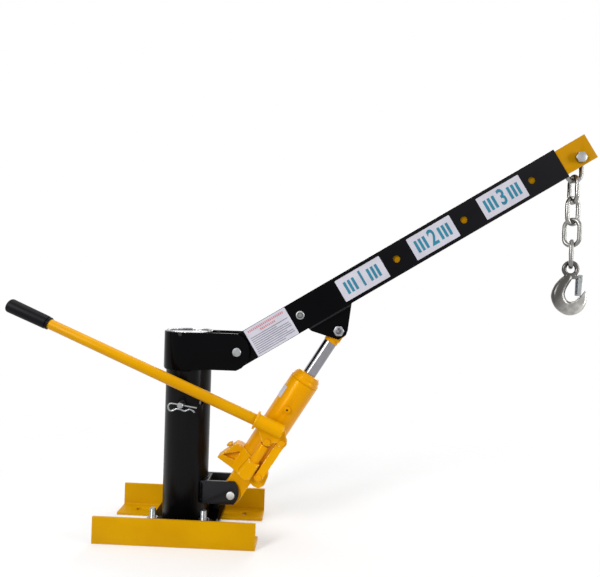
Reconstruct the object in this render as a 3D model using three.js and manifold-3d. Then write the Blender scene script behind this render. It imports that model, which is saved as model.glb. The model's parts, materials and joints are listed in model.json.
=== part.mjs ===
// A small hydraulic jib crane: a slewing mast on a bolted base, a luffing boom with a
// telescopic end, a hand-pumped jack that lifts the boom, and a chain with a latched hook.
// Millimetres and degrees. +Z is up, the boom points to +X, and the pump handle is on the -Y side.
import * as THREE from "three";
import { mergeVertices } from "three/addons/utils/BufferGeometryUtils.js";
import Module from "manifold-3d";

const wasm = await Module();
wasm.setup();

// General clearances and facet counts
const clearance = 0.3;
const overrun = 3;
const pinSides = 16;
const tubeSides = 32;
const nutSides = 12;
const arcSteps = 8;

// Base: two steel angles, a plate across their inner flanges, and four studs
const angleLength = 305;
const angleLeg = 50;
const angleWall = 5;
const baseDepth = 180;
const floorHoleRadius = 6.5;
const floorHoleSpacing = 224;
const floorHoleInset = 27;
const plateWidth = 138;
const plateThickness = 8;
const plateSideGap = 0.6;
const studSpacingX = 98;
const studInset = 35;
const studRadius = 6;
const studTop = 57.4;
const studRecess = 0.5;
const nutAcrossFlats = 20;
const nutHeight = 12.4;
const nutNeckHeight = 1.4;
const nutNeckRadius = 9;

// Mast: a tube that turns on a fixed post inside it
const mastRadius = 44.5;
const mastWall = 5;
const mastFootGap = 2;
const mastTop = 394;
const capThickness = 5;
const postRadius = 36;
const postWall = 7;
const bushHeight = 30;
const thrustThickness = 3;
const hubHeight = 40;
const hubSpigotDepth = 25;
const lockPinRadius = 6;
const lockPinHeight = 257;
const lockPinFrontReach = 21.5;
const lockPinHeadRadius = 10;
const lockPinHeadThickness = 5;
const lockPinEndChamfer = 1.2;
const indexHoleRadius = 5;
const indexHoleAngle = -41;

// Spring clip through the front end of the lock pin
const clipWireRadius = 1.9;
const clipInset = 8;
const clipSteps = 32;
const clipSides = 6;
const clipHalfLength = 29;

// Head bracket: a strap bent round the mast top, with two cheeks that carry the boom
const strapWall = 5;
const strapHeight = 72;
const cheekHalfGap = 31.5;
const cheekBendX = 43;
const cheekReach = 25.5;
const pivotX = 100;
const pivotPinRadius = 9;
const pivotPinProud = 2.5;
const pinChamfer = 1.2;

// Foot clevis on the mast, for the jack
const clevisPinX = 95;
const clevisPinHeight = 76;
const clevisTop = 103;
const clevisBottom = 58.2;
const clevisHalfWidth = 27;
const clevisWall = 6;
const clevisReach = 16;
const clevisEndBulge = 9.5;
const footPinRadius = 8.2;
const footPinProud = 2.5;

// Boom: a square tube, with a yellow square tube that slides in it
const boomAngle = 32.1;
const boomSize = 60;
const boomWall = 4;
const boomTail = 19;
const boomEnd = 720;
const innerBoomSize = 51;
const innerBoomWall = 4;
const innerBoomShow = 67;
const innerBoomTail = 26;
const boomPinAlong = 142.3;
const boomPinRadius = 8.8;
const boomPinProud = 2;
const indexHoleInset = 64;
const indexHolePitch = 149;
const indexHoleCount = 3;
const boomHoleRadius = 7;

// Yoke under the boom, for the jack's rod
const yokeStart = 143;
const yokeEnd = 241;
const yokeKneeAlong = 145.5;
const yokeKneeDrop = 8;
const yokeLowBackAlong = 182;
const yokeLowFrontAlong = 199.5;
const yokeCornerAlong = 207;
const yokeDrop = 49;
const yokeCornerDrop = 43;
const yokeWall = 5;
const yokeHalfGap = 16;
const yokeBoltAlong = 191.4;
const yokeBoltDrop = 34.5;
const yokeBoltRadius = 6;
const boltHeadAcrossFlats = 19;
const boltHeadHeight = 7.5;
const boltEndProud = 3;

// Tip bolt and chain
const tipBoltInset = 29;
const tipBoltDrop = 9.5;
const tipBoltRadius = 6;
const tipHeadAcrossFlats = 19;
const chainWireRadius = 4.25;
const chainInnerLength = 42.4;
const chainInnerWidth = 20;
const chainTurns = [0, 95, 25, -45, 66];
const chainSides = 8;
const chainArcSteps = 6;
const chainSlotMargin = 2.75;
const chainSwingRoom = 5;

// Hook: a ring, a tapering bowl and a sprung latch
const hookEyeRadius = 12.6;
const hookEyeWireRadius = 4.5;
const hookHeight = 91;
const hookReach = 35.5;
const hookThickness = 19;
const hookSides = 10;
const hookSteps = 16;
const latchPivotX = 17.5;
const latchPivotDrop = 15.5;
const latchPinRadius = 1.6;
const latchBossRadius = 4.2;
const latchLength = 37;
const latchHalfWidth = 6.6;
const latchSheet = 1.6;
const latchDepth = 9;
const latchLean = 3.5;

// Jack body, measured along its axis from the foot pin
const lugRadius = 20.5;
const lugThickness = 40;
const castingStart = 42;
const castingFloor = 62;
const castingTop = 90;
const castingRadius = 31;
const reservoirRadius = 29.8;
const reservoirWall = 3;
const reservoirTop = 262;
const cylinderRadius = 21;
const cylinderWall = 4.5;
const headSpigotDepth = 12;
const headRimTop = 266.5;
const headShoulderRadius = 27.2;
const headShoulderTop = 274;
const headNeckRadius = 22;
const headTop = 281;
const headLipRadius = 18;
const headLipHeight = 1.5;
const fillerAlong = 203;
const fillerRadius = 7.4;
const fillerHeight = 3.2;
const fillerShankRadius = 4;

// Jack rod and piston
const rodRadius = 13.3;
const rodEyeLength = 28;
const rodEyeRadius = 16.5;
const rodEyePlay = 5.9;
const rodEyeThickness = 29;
const rodCollarRadius = 14.4;
const rodSocketDepth = 8;
const pistonStart = 118;
const pistonHeight = 16;
const sealHeight = 6;
const rodSpigotRadius = 8;

// Hand pump on the front of the jack
const pumpAxisY = -44;
const pumpBlockLow = 48.5;
const pumpBlockHeelAlong = 53;
const pumpBlockHeelOffset = 16;
const pumpBlockMastSide = 11.5;
const pumpBlockFarSide = 12.5;
const pumpBlockFront = -57.5;
const pumpBlockRound = 3.5;
const barrelRadius = 10;
const barrelSeat = 60;
const barrelTop = 126;
const plungerRadius = 6;
const plungerStart = 70;
const plungerPinAlong = 137.5;
const plungerHeadRadius = 9;
const plungerHeadThickness = 11;
const plungerSlotPlay = 2.4;
const leverPinAlong = 150.5;
const leverPinOffset = 25;
const linkPinAlong = 68.5;
const linkPinOffset = 24;
const linkHalfWidth = 8.2;
const linkEndRadius = 9;
const linkThickness = 12.4;
const pumpPinRadius = 4.5;
const pumpPinHeadRadius = 6.3;
const pumpPinHeadHeight = 2.2;
const earTopAlong = 100;
const earTopOffset = 30.5;
const earNeckAlong = 84;
const earNeckOffset = 33;
const earWideAlong = 75;
const earWideOffset = 40;
const earHeelAlong = 57;
const earHeelOffset = 43;
const earLowAlong = 46;
const earLowOffset = 37.5;
const earLowInAlong = 44;
const earLowInOffset = 26;

// Release valve housing on the mast side of the jack
const valveTipAlong = 44;
const valveTipOffset = 63;
const valveTopAlong = 87.5;
const valveTopOffset = 46;
const valveShoulderOffset = 37;
const valveRootOffset = 22;
const valveHalfThickness = 15;
const valveWebHalfThickness = 6.5;
const pocketTipAlong = 54.5;
const pocketTipOffset = 58;
const pocketTopAlong = 80;
const pocketLowAlong = 59;
const pocketRootOffset = 30;
const valveShare = 0.7;
const valveShankRadius = 4;
const valveBoreDepth = 13.5;
const valveNeckRadius = 3;
const valveNeckLength = 2;
const valveKnobRadius = 4.5;
const valveKnobLength = 6;
const valveBarRadius = 2.2;
const valveBarLength = 14;

// Handle lever, its socket and the handle
const leverThickness = 7;
const leverBossRadius = 9;
const socketMouthAlong = 161.5;
const socketMouthOffset = -42.5;
const socketLength = 57;
const socketRadius = 13.5;
const socketDepth = 47;
const socketLean = -8.7;
const socketAxisY = -63;
const socketFlangeRadius = 14.8;
const socketFlangeThickness = 4.5;
const socketEarReach = 17.8;
const socketEarWidth = 8;
const handleRadius = 11;
const handleEndRadius = 9.8;
const handleBore = 7.8;
const handleReach = 520;
const gripLength = 88;
const gripRadius = 12.8;
const gripEndRadius = 13.7;
const gripEndRound = 5.5;
const gripOverlap = 80;
const gripCollarRadius = 13.3;
const gripCollarLength = 4;

// Colours of the paints and metals
const yellowPaint = { color: 0xe6a800, roughness: 0.42, metalness: 0 };
const mustardPaint = { color: 0xd2a000, roughness: 0.45, metalness: 0 };
const blackPaint = { color: 0x101014, roughness: 0.3, metalness: 0 };
const zincPlate = { color: 0xb9bcbe, roughness: 0.35, metalness: 1 };
const chromePlate = { color: 0xd8d8dc, roughness: 0.12, metalness: 1 };
const bareSteel = { color: 0x8c8e90, roughness: 0.5, metalness: 1 };
const bronze = { color: 0xa5763a, roughness: 0.5, metalness: 1 };
const blackRubber = { color: 0x17181a, roughness: 0.8, metalness: 0 };

// Values that follow from the sizes
const pivotHeight = mastTop - strapHeight / 2;
const mastBore = mastRadius - mastWall;
const flangeTop = angleWall;
const plateTop = flangeTop + clearance + plateThickness;
const innerBoomEnd = boomEnd + innerBoomShow;
const tipBoltAlong = innerBoomEnd - tipBoltInset;
const boomTurn = THREE.MathUtils.degToRad(boomAngle);
const yokeBoltUp = -(boomSize / 2 + yokeBoltDrop);
const yokeBoltX = pivotX + yokeBoltAlong * Math.cos(boomTurn) - yokeBoltUp * Math.sin(boomTurn);
const yokeBoltHeight = pivotHeight + yokeBoltAlong * Math.sin(boomTurn) + yokeBoltUp * Math.cos(boomTurn);
const jackTurn = Math.atan2(yokeBoltHeight - clevisPinHeight, yokeBoltX - clevisPinX);
const jackLength = Math.hypot(yokeBoltHeight - clevisPinHeight, yokeBoltX - clevisPinX);

// Solid helpers

function closedShell(geometry) {
  const bare = geometry.clone();
  bare.deleteAttribute("normal");
  bare.deleteAttribute("uv");
  return mergeVertices(bare, 1e-4);
}

function solidOf(geometry) {
  const shell = closedShell(geometry);
  return new wasm.Manifold(
    new wasm.Mesh({
      numProp: 3,
      vertProperties: shell.attributes.position.array,
      triVerts: new Uint32Array(shell.index.array),
    }),
  );
}

function geometryOf(solid) {
  const mesh = solid.getMesh();
  const geometry = new THREE.BufferGeometry();
  geometry.setAttribute("position", new THREE.BufferAttribute(mesh.vertProperties, 3));
  geometry.setIndex(new THREE.BufferAttribute(mesh.triVerts, 1));
  return geometry;
}

function join(first, ...others) {
  let solid = solidOf(first);
  for (const other of others) solid = solid.add(solidOf(other));
  return geometryOf(solid);
}

function cut(first, ...tools) {
  let solid = solidOf(first);
  for (const tool of tools) solid = solid.subtract(solidOf(tool));
  return geometryOf(solid);
}

// The smallest convex solid around the given ones.
function hullOf(...parts) {
  return geometryOf(wasm.Manifold.hull(parts.map(solidOf)));
}

function overlapOf(first, second) {
  return geometryOf(solidOf(first).intersect(solidOf(second)));
}

// Shape helpers

function box(sizeX, sizeY, sizeZ, x = 0, y = 0, z = 0) {
  return new THREE.BoxGeometry(sizeX, sizeY, sizeZ).translate(x, y, z);
}

// A box given by its lowest and highest corners.
function block(low, high) {
  const size = low.map((value, axis) => high[axis] - value);
  const middle = low.map((value, axis) => (value + high[axis]) / 2);
  return box(...size, ...middle);
}

// A round bar along Y, from one Y to another.
function barY(radius, fromY, toY, x = 0, z = 0, sides = pinSides) {
  const length = Math.abs(toY - fromY);
  const bar = new THREE.CylinderGeometry(radius, radius, length, sides);
  return bar.translate(x, (fromY + toY) / 2, z);
}

// A turned solid about Z. The points are [radius, height] pairs.
function turnedZ(points, sides = tubeSides) {
  const profile = points.map(([radius, height]) => new THREE.Vector2(radius, height));
  const area = profile.reduce((sum, point, index) => {
    const next = profile[(index + 1) % profile.length];
    return sum + point.x * next.y - next.x * point.y;
  }, 0);
  if (area < 0) profile.reverse();
  return new THREE.LatheGeometry(profile, sides).rotateX(Math.PI / 2);
}

// A ring about Z, from one height to another.
function ringZ(outerRadius, innerRadius, low, high, sides = tubeSides) {
  const corners = [
    [innerRadius, low],
    [outerRadius, low],
    [outerRadius, high],
    [innerRadius, high],
    [innerRadius, low],
  ];
  return turnedZ(corners, sides);
}

// A disc about Z, from one height to another.
function discZ(radius, low, high, sides = tubeSides) {
  const corners = [
    [0, low],
    [radius, low],
    [radius, high],
    [0, high],
  ];
  return turnedZ(corners, sides);
}

// The same turned solid with its axis along X or -Y.
const alongX = (geometry) => geometry.rotateY(Math.PI / 2);
const alongMinusY = (geometry) => geometry.rotateX(Math.PI / 2);

// A flat outline in X and Z, extruded between two Y values.
function plateXZ(outline, fromY, toY) {
  const depth = Math.abs(toY - fromY);
  const shape = outline instanceof THREE.Shape ? outline : shapeOf(outline);
  const plate = new THREE.ExtrudeGeometry(shape, {
    depth,
    bevelEnabled: false,
    curveSegments: arcSteps,
  });
  return plate.rotateX(Math.PI / 2).translate(0, Math.max(fromY, toY), 0);
}

// A flat outline in X and Y, extruded between two heights.
function plateXY(outline, low, high) {
  const plate = new THREE.ExtrudeGeometry(shapeOf(outline), {
    depth: high - low,
    bevelEnabled: false,
    curveSegments: arcSteps,
  });
  return plate.translate(0, 0, low);
}

function shapeOf(outline) {
  return new THREE.Shape(outline.map(([x, y]) => new THREE.Vector2(x, y)));
}

// Points on an arc, from one angle to another, in radians.
function arcPoints(centreX, centreY, radius, start, end, steps = arcSteps) {
  return Array.from({ length: steps + 1 }, (_, index) => {
    const turn = start + ((end - start) * index) / steps;
    return [centreX + radius * Math.cos(turn), centreY + radius * Math.sin(turn)];
  });
}

// The free end of a plate whose edge bulges out past a straight line, as [x, z] points going up.
function bulgedEnd(x, low, high, bulge) {
  const half = (high - low) / 2;
  const radius = (half * half + bulge * bulge) / (2 * bulge);
  const spread = Math.asin(half / radius);
  return arcPoints(x + bulge - radius, (low + high) / 2, radius, -spread, spread);
}

// A hexagonal prism along Y, with the bevelled corners of a nut.
function hexY(acrossFlats, fromY, toY) {
  const cornerRadius = acrossFlats / Math.sqrt(3);
  const chamfer = (cornerRadius - acrossFlats / 2) / 2;
  const length = Math.abs(toY - fromY);
  const prism = new THREE.CylinderGeometry(cornerRadius, cornerRadius, length, 6);
  const rim = turnedZ(
    [
      [0, -length / 2],
      [acrossFlats / 2, -length / 2],
      [cornerRadius, -length / 2 + chamfer],
      [cornerRadius, length / 2 - chamfer],
      [acrossFlats / 2, length / 2],
      [0, length / 2],
    ],
    nutSides,
  );
  return overlapOf(prism, alongMinusY(rim)).translate(0, (fromY + toY) / 2, 0);
}

// A round pin along Y with a bevel at both ends.
function chamferedPinY(radius, fromY, toY, chamfer = pinChamfer, sides = pinSides) {
  const low = Math.min(fromY, toY);
  const high = Math.max(fromY, toY);
  const pin = turnedZ(
    [
      [0, low],
      [radius - chamfer, low],
      [radius, low + chamfer],
      [radius, high - chamfer],
      [radius - chamfer, high],
      [0, high],
    ],
    sides,
  );
  return pin.rotateX(-Math.PI / 2);
}

// A round bar of an even section along a curve.
function wireAlong(curve, radius, sides, steps) {
  const section = new THREE.Shape(
    arcPoints(0, 0, radius, 0, 2 * Math.PI, sides)
      .slice(0, sides)
      .map(([x, y]) => new THREE.Vector2(x, y)),
  );
  return new THREE.ExtrudeGeometry(section, { steps, extrudePath: curve, bevelEnabled: false });
}

// A skin over rings of points, with flat ends, or closed into a loop.
function skinOver(rings, looped = false) {
  const positions = rings.flat().flatMap((point) => point.toArray());
  const around = rings[0].length;
  const faces = [];
  const lastRing = looped ? rings.length : rings.length - 1;
  for (let ring = 0; ring < lastRing; ring++) {
    const nextRing = (ring + 1) % rings.length;
    for (let side = 0; side < around; side++) {
      const nextSide = (side + 1) % around;
      const corners = [
        ring * around + side,
        ring * around + nextSide,
        nextRing * around + nextSide,
        nextRing * around + side,
      ];
      faces.push(corners[0], corners[1], corners[2], corners[0], corners[2], corners[3]);
    }
  }
  if (!looped) {
    const end = (rings.length - 1) * around;
    for (let side = 1; side < around - 1; side++) {
      faces.push(0, side + 1, side);
      faces.push(end, end + side, end + side + 1);
    }
  }
  const geometry = new THREE.BufferGeometry();
  geometry.setAttribute("position", new THREE.Float32BufferAttribute(positions, 3));
  geometry.setIndex(faces);
  return geometry;
}

function piece(name, geometry, paint) {
  const mesh = new THREE.Mesh(geometry, new THREE.MeshStandardMaterial(paint));
  mesh.name = name;
  return mesh;
}

function groupAt(x, y, z, turnY = 0) {
  const group = new THREE.Group();
  group.position.set(x, y, z);
  group.rotation.y = turnY;
  return group;
}

// Base

function studPlaces() {
  const places = [];
  for (const sideX of [-1, 1]) {
    for (const sideY of [-1, 1]) places.push([(sideX * studSpacingX) / 2, sideY * (baseDepth / 2 - studInset)]);
  }
  return places;
}

// One steel angle. side is -1 for the front one and 1 for the back one.
function baseAngle(side) {
  const outer = (side * baseDepth) / 2;
  const wallY = outer - side * angleWall;
  const flangeY = outer - side * angleLeg;
  const section = [
    [outer, 0],
    [outer, angleLeg],
    [wallY, angleLeg],
    [wallY, angleWall],
    [flangeY, angleWall],
    [flangeY, 0],
  ];
  const ordered = side < 0 ? section.reverse() : section;
  const bar = new THREE.ExtrudeGeometry(shapeOf(ordered), { depth: angleLength, bevelEnabled: false });
  bar.rotateX(Math.PI / 2).rotateZ(Math.PI / 2).translate(-angleLength / 2, 0, 0);
  const holes = [-1, 1].map((end) => {
    const hole = discZ(floorHoleRadius, -overrun, angleWall + overrun, pinSides);
    return hole.translate((end * floorHoleSpacing) / 2, outer - side * floorHoleInset, 0);
  });
  const studHoles = studPlaces()
    .filter(([, y]) => Math.sign(y) === side)
    .map(([x, y]) => discZ(studRadius + clearance, -overrun, angleWall + overrun, pinSides).translate(x, y, 0));
  return cut(bar, ...holes, ...studHoles);
}

function basePlate() {
  const depth = baseDepth - 2 * (angleWall + plateSideGap);
  const low = flangeTop + clearance;
  const plate = block([-plateWidth / 2, -depth / 2, low], [plateWidth / 2, depth / 2, plateTop]);
  const holes = studPlaces().map(([x, y]) =>
    discZ(studRadius + clearance, low - overrun, plateTop + overrun, pinSides).translate(x, y, 0),
  );
  return cut(plate, ...holes);
}

// A nut with a second nut locked on top of it, joined by the thread between them.
function doubleNut() {
  const low = plateTop + clearance;
  const second = low + nutHeight + nutNeckHeight;
  const nuts = [low, second].map((start) => hexY(nutAcrossFlats, start, start + nutHeight));
  const neck = barY(nutNeckRadius, low + nutHeight / 2, second + nutHeight / 2);
  const stack = join(...nuts, neck).rotateX(Math.PI / 2);
  return cut(stack, discZ(studRadius + clearance, 0, second + nutHeight + overrun, pinSides));
}

function makeBase() {
  const base = groupAt(0, 0, 0);
  base.add(piece("front_angle", baseAngle(-1), mustardPaint));
  base.add(piece("back_angle", baseAngle(1), mustardPaint));
  base.add(piece("base_plate", basePlate(), blackPaint));
  const postTop = lockPinHeight - hubHeight / 2 - 2 * clearance - thrustThickness;
  const post = ringZ(postRadius, postRadius - postWall, plateTop + clearance, postTop);
  base.add(piece("base_post", post, bareSteel));
  const spigotHole = postRadius - postWall;
  const washer = ringZ(postRadius, spigotHole, postTop + clearance, postTop + clearance + thrustThickness);
  base.add(piece("thrust_washer", washer, bronze));
  studPlaces().forEach(([x, y], index) => {
    const stud = piece(`base_stud_${index + 1}`, discZ(studRadius, studRecess, studTop, pinSides), zincPlate);
    const nut = piece(`base_nut_${index + 1}`, doubleNut(), zincPlate);
    stud.position.set(x, y, 0);
    nut.position.set(x, y, 0);
    base.add(stud, nut);
  });
  return base;
}

// Mast

function lockPinHole() {
  return barY(lockPinRadius + clearance, -mastRadius - overrun, mastRadius + overrun, 0, lockPinHeight);
}

function mastTube() {
  const low = plateTop + mastFootGap;
  const high = mastTop - capThickness - clearance;
  const tube = ringZ(mastRadius, mastBore, low, high);
  const indexHole = new THREE.CylinderGeometry(indexHoleRadius, indexHoleRadius, mastRadius, pinSides)
    .rotateZ(Math.PI / 2)
    .translate(mastRadius, 0, 0)
    .rotateZ(THREE.MathUtils.degToRad(indexHoleAngle))
    .translate(0, 0, lockPinHeight);
  return cut(tube, lockPinHole(), indexHole);
}

function swivelHub() {
  const low = lockPinHeight - hubHeight / 2;
  const high = lockPinHeight + hubHeight / 2;
  const radius = mastBore - clearance;
  const spigotRadius = postRadius - postWall - clearance;
  const hub = turnedZ([
    [0, low - hubSpigotDepth],
    [spigotRadius, low - hubSpigotDepth],
    [spigotRadius, low],
    [radius, low],
    [radius, high],
    [0, high],
  ]);
  return cut(hub, lockPinHole());
}

function lockPin() {
  const headFrom = mastRadius + clearance;
  const shank = chamferedPinY(
    lockPinRadius,
    -mastRadius - lockPinFrontReach,
    headFrom + lockPinHeadThickness / 2,
    lockPinEndChamfer,
  );
  const head = chamferedPinY(lockPinHeadRadius, headFrom, headFrom + lockPinHeadThickness, lockPinEndChamfer);
  const clipY = -mastRadius - lockPinFrontReach + clipInset;
  const crossHole = new THREE.CylinderGeometry(
    clipWireRadius + clearance,
    clipWireRadius + clearance,
    2 * (lockPinRadius + overrun),
    pinSides,
  );
  crossHole.rotateZ(Math.PI / 2).rotateY(clipSlope()).translate(0, clipY, 0);
  return cut(join(shank, head), crossHole).translate(0, 0, lockPinHeight);
}

const clipLegDropShare = 0.15;

function clipSlope() {
  return Math.atan(clipLegDropShare);
}

// The clip's route in shares of its half length: the straight leg through the pin, a round
// loop on the left, and the waved leg that hugs the underside of the pin.
const clipRouteShares = [
  [1.05, -0.1575],
  [0.5, -0.075],
  [0, 0],
  [-0.5, 0.075],
  [-0.72, 0.06],
  [-0.84, -0.1],
  [-0.8, -0.31],
  [-0.62, -0.41],
  [-0.45, -0.35],
  [-0.28, -0.27],
  [0, -0.295],
  [0.24, -0.39],
  [0.42, -0.33],
  [0.58, -0.27],
  [0.76, -0.33],
  [0.92, -0.46],
];

function springClip() {
  const points = clipRouteShares.map(
    ([along, up]) => new THREE.Vector3(along * clipHalfLength, 0, up * clipHalfLength),
  );
  const route = new THREE.CatmullRomCurve3(points, false, "centripetal");
  const clipY = -mastRadius - lockPinFrontReach + clipInset;
  return wireAlong(route, clipWireRadius, clipSides, clipSteps).translate(0, clipY, lockPinHeight);
}

// Where the straight run from a point at a bend touches a circle round the mast, as an angle.
function touchAngle(radius, x, y) {
  return Math.atan2(y, x) + Math.acos(radius / Math.hypot(x, y));
}

function headBracket() {
  const innerRadius = mastRadius + clearance;
  const outerRadius = innerRadius + strapWall;
  const outerHalf = cheekHalfGap + strapWall;
  const endX = pivotX + cheekReach;
  const plan = (radius, half) => {
    const touch = touchAngle(radius, cheekBendX, half);
    return [
      [endX, -half],
      [cheekBendX, -half],
      ...arcPoints(0, 0, radius, -touch, touch - 2 * Math.PI, 4 * arcSteps),
      [cheekBendX, half],
      [endX, half],
    ];
  };
  const low = mastTop - strapHeight;
  const inner = plan(innerRadius, cheekHalfGap);
  inner[0] = [endX + overrun, -cheekHalfGap];
  inner[inner.length - 1] = [endX + overrun, cheekHalfGap];
  const filled = plateXY(plan(outerRadius, outerHalf).reverse(), low, mastTop);
  const hollow = plateXY(inner.reverse(), low - overrun, mastTop + overrun);
  const side = plateXZ(
    [[-outerRadius - overrun, low], ...bulgedEnd(pivotX, low, mastTop, cheekReach), [-outerRadius - overrun, mastTop]],
    -outerRadius - overrun,
    outerRadius + overrun,
  );
  const hole = barY(pivotPinRadius + clearance, -outerHalf - overrun, outerHalf + overrun, pivotX, pivotHeight);
  return cut(overlapOf(filled, side), hollow, hole);
}

function footClevis() {
  const outline = [
    [0, clevisBottom],
    ...bulgedEnd(clevisPinX + clevisReach - clevisEndBulge, clevisBottom, clevisTop, clevisEndBulge),
    [0, clevisTop],
  ];
  const solid = plateXZ(outline, -clevisHalfWidth, clevisHalfWidth);
  const mast = discZ(mastRadius + clearance, clevisBottom - overrun, clevisTop + overrun);
  const webFace = mastRadius + clearance + clevisWall;
  const armGap = clevisHalfWidth - clevisWall;
  const gap = block(
    [webFace, -armGap, clevisBottom - overrun],
    [clevisPinX + clevisReach + overrun, armGap, clevisTop + overrun],
  );
  const hole = barY(
    footPinRadius + clearance,
    -clevisHalfWidth - overrun,
    clevisHalfWidth + overrun,
    clevisPinX,
    clevisPinHeight,
  );
  return cut(solid, mast, gap, hole);
}

function makeMast() {
  const mast = groupAt(0, 0, 0);
  mast.add(piece("mast_tube", mastTube(), blackPaint));
  mast.add(piece("mast_cap", discZ(mastRadius, mastTop - capThickness, mastTop), blackPaint));
  const bushLow = plateTop + mastFootGap;
  const bush = ringZ(mastBore - clearance, postRadius + clearance, bushLow, bushLow + bushHeight);
  mast.add(piece("mast_bush", bush, bronze));
  mast.add(piece("swivel_hub", swivelHub(), bareSteel));
  mast.add(piece("lock_pin", lockPin(), zincPlate));
  mast.add(piece("spring_clip", springClip(), zincPlate));
  mast.add(piece("head_bracket", headBracket(), blackPaint));
  mast.add(piece("foot_clevis", footClevis(), blackPaint));
  const pivotReach = cheekHalfGap + strapWall + pivotPinProud;
  const pivotPin = chamferedPinY(pivotPinRadius, -pivotReach, pivotReach).translate(pivotX, 0, pivotHeight);
  mast.add(piece("boom_pivot_pin", pivotPin, zincPlate));
  const footReach = clevisHalfWidth + footPinProud;
  const footPin = chamferedPinY(footPinRadius, -footReach, footReach).translate(clevisPinX, 0, clevisPinHeight);
  mast.add(piece("jack_foot_pin", footPin, zincPlate));
  return mast;
}

// Boom. Its own frame has the pivot at the origin and runs along X.

function squareTube(size, wall, from, to) {
  const inner = size - 2 * wall;
  const tube = box(to - from, size, size, (from + to) / 2, 0, 0);
  return cut(tube, box(to - from + 2 * overrun, inner, inner, (from + to) / 2, 0, 0));
}

function outerBoom() {
  const tube = squareTube(boomSize, boomWall, -boomTail, boomEnd);
  const across = boomSize / 2 + overrun;
  const pivotHole = barY(pivotPinRadius + clearance, -across, across);
  const pinHole = barY(boomPinRadius + clearance, -across, across, boomPinAlong);
  const indexHoles = Array.from({ length: indexHoleCount }, (_, index) =>
    barY(boomHoleRadius, -across, across, boomEnd - indexHoleInset - index * indexHolePitch),
  );
  return cut(tube, pivotHole, pinHole, ...indexHoles);
}

function jackYoke() {
  const top = -boomSize / 2 - clearance;
  const under = -boomSize / 2;
  const outline = [
    [yokeStart, top],
    [yokeKneeAlong, under - yokeKneeDrop],
    [yokeLowBackAlong, under - yokeDrop],
    [yokeLowFrontAlong, under - yokeDrop],
    [yokeCornerAlong, under - yokeCornerDrop],
    [yokeEnd, top],
  ];
  const outerHalf = yokeHalfGap + yokeWall;
  const solid = plateXZ(outline, -outerHalf, outerHalf);
  const gap = block(
    [yokeStart - overrun, -yokeHalfGap, under - yokeDrop - overrun],
    [yokeEnd + overrun, yokeHalfGap, top - yokeWall],
  );
  const hole = barY(
    yokeBoltRadius + clearance,
    -outerHalf - overrun,
    outerHalf + overrun,
    yokeBoltAlong,
    under - yokeBoltDrop,
  );
  return cut(solid, gap, hole);
}

// A hexagon-headed bolt along Y with its head on the front.
function frontBolt(radius, headAcrossFlats, halfGrip, endY) {
  const headFrom = -halfGrip - clearance;
  const head = hexY(headAcrossFlats, headFrom - boltHeadHeight, headFrom);
  return join(head, barY(radius, headFrom - boltHeadHeight / 2, endY));
}

function backNut(radius, acrossFlats, halfGrip) {
  const from = halfGrip + clearance;
  const nut = hexY(acrossFlats, from, from + nutHeight);
  return cut(nut, barY(radius + clearance, from - overrun, from + nutHeight + overrun));
}

function makeBoom() {
  const boom = groupAt(pivotX, 0, pivotHeight, -boomTurn);
  boom.add(piece("outer_boom", outerBoom(), blackPaint));
  boom.add(piece("jack_yoke", jackYoke(), blackPaint));
  const boltHalf = yokeHalfGap + yokeWall;
  const bolt = frontBolt(yokeBoltRadius, boltHeadAcrossFlats, boltHalf, boltHalf + nutHeight + boltEndProud);
  const nut = backNut(yokeBoltRadius, nutAcrossFlats, boltHalf);
  for (const [name, geometry] of [
    ["yoke_bolt", bolt],
    ["yoke_nut", nut],
  ]) {
    const part = piece(name, geometry, zincPlate);
    part.position.set(yokeBoltAlong, 0, yokeBoltUp);
    boom.add(part);
  }
  const pinReach = boomSize / 2 + boomPinProud;
  const pin = piece("boom_lock_pin", chamferedPinY(boomPinRadius, -pinReach, pinReach), zincPlate);
  pin.position.x = boomPinAlong;
  boom.add(pin);
  boom.add(makeInnerBoom());
  return boom;
}

// The inner boom's tail is a fork that seats on the lock pin, and its tip has a slot for the chain.
function innerBoomTube() {
  const tail = boomPinAlong - innerBoomTail;
  const tube = squareTube(innerBoomSize, innerBoomWall, tail, innerBoomEnd);
  const half = innerBoomSize / 2 + overrun;
  const notchRadius = boomPinRadius + clearance;
  const notchRound = barY(notchRadius, -half, half, boomPinAlong);
  const notch = block([tail - overrun, -half, -notchRadius], [boomPinAlong, half, notchRadius]);
  const tipHole = barY(tipBoltRadius + clearance, -half, half, tipBoltAlong, -tipBoltDrop);
  const crossing = tipBoltAlong - (innerBoomSize / 2 - tipBoltDrop) * Math.tan(boomTurn);
  const linkHalf = chainInnerWidth / 2 + 2 * chainWireRadius;
  const slotStart = crossing - linkHalf / Math.cos(boomTurn) - chainSwingRoom;
  const slotHalf = chainWireRadius + chainSlotMargin;
  const slot = block(
    [slotStart, -slotHalf, -innerBoomSize / 2 - overrun],
    [innerBoomEnd + overrun, slotHalf, -innerBoomSize / 2 + innerBoomWall + overrun],
  );
  return cut(tube, notchRound, notch, tipHole, slot);
}

function makeInnerBoom() {
  const inner = groupAt(0, 0, 0);
  inner.add(piece("inner_boom", innerBoomTube(), yellowPaint));
  const half = innerBoomSize / 2;
  const tip = groupAt(tipBoltAlong, 0, -tipBoltDrop);
  const bolt = frontBolt(tipBoltRadius, tipHeadAcrossFlats, half, half + nutHeight + boltEndProud);
  tip.add(piece("tip_bolt", bolt, zincPlate));
  tip.add(piece("tip_nut", backNut(tipBoltRadius, nutAcrossFlats, half), zincPlate));
  inner.add(tip);
  const chain = makeChain();
  chain.position.copy(tip.position);
  chain.rotation.y = boomTurn;
  inner.add(chain);
  return inner;
}

// Chain and hook. Their frame hangs plumb from the tip pin.

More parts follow.
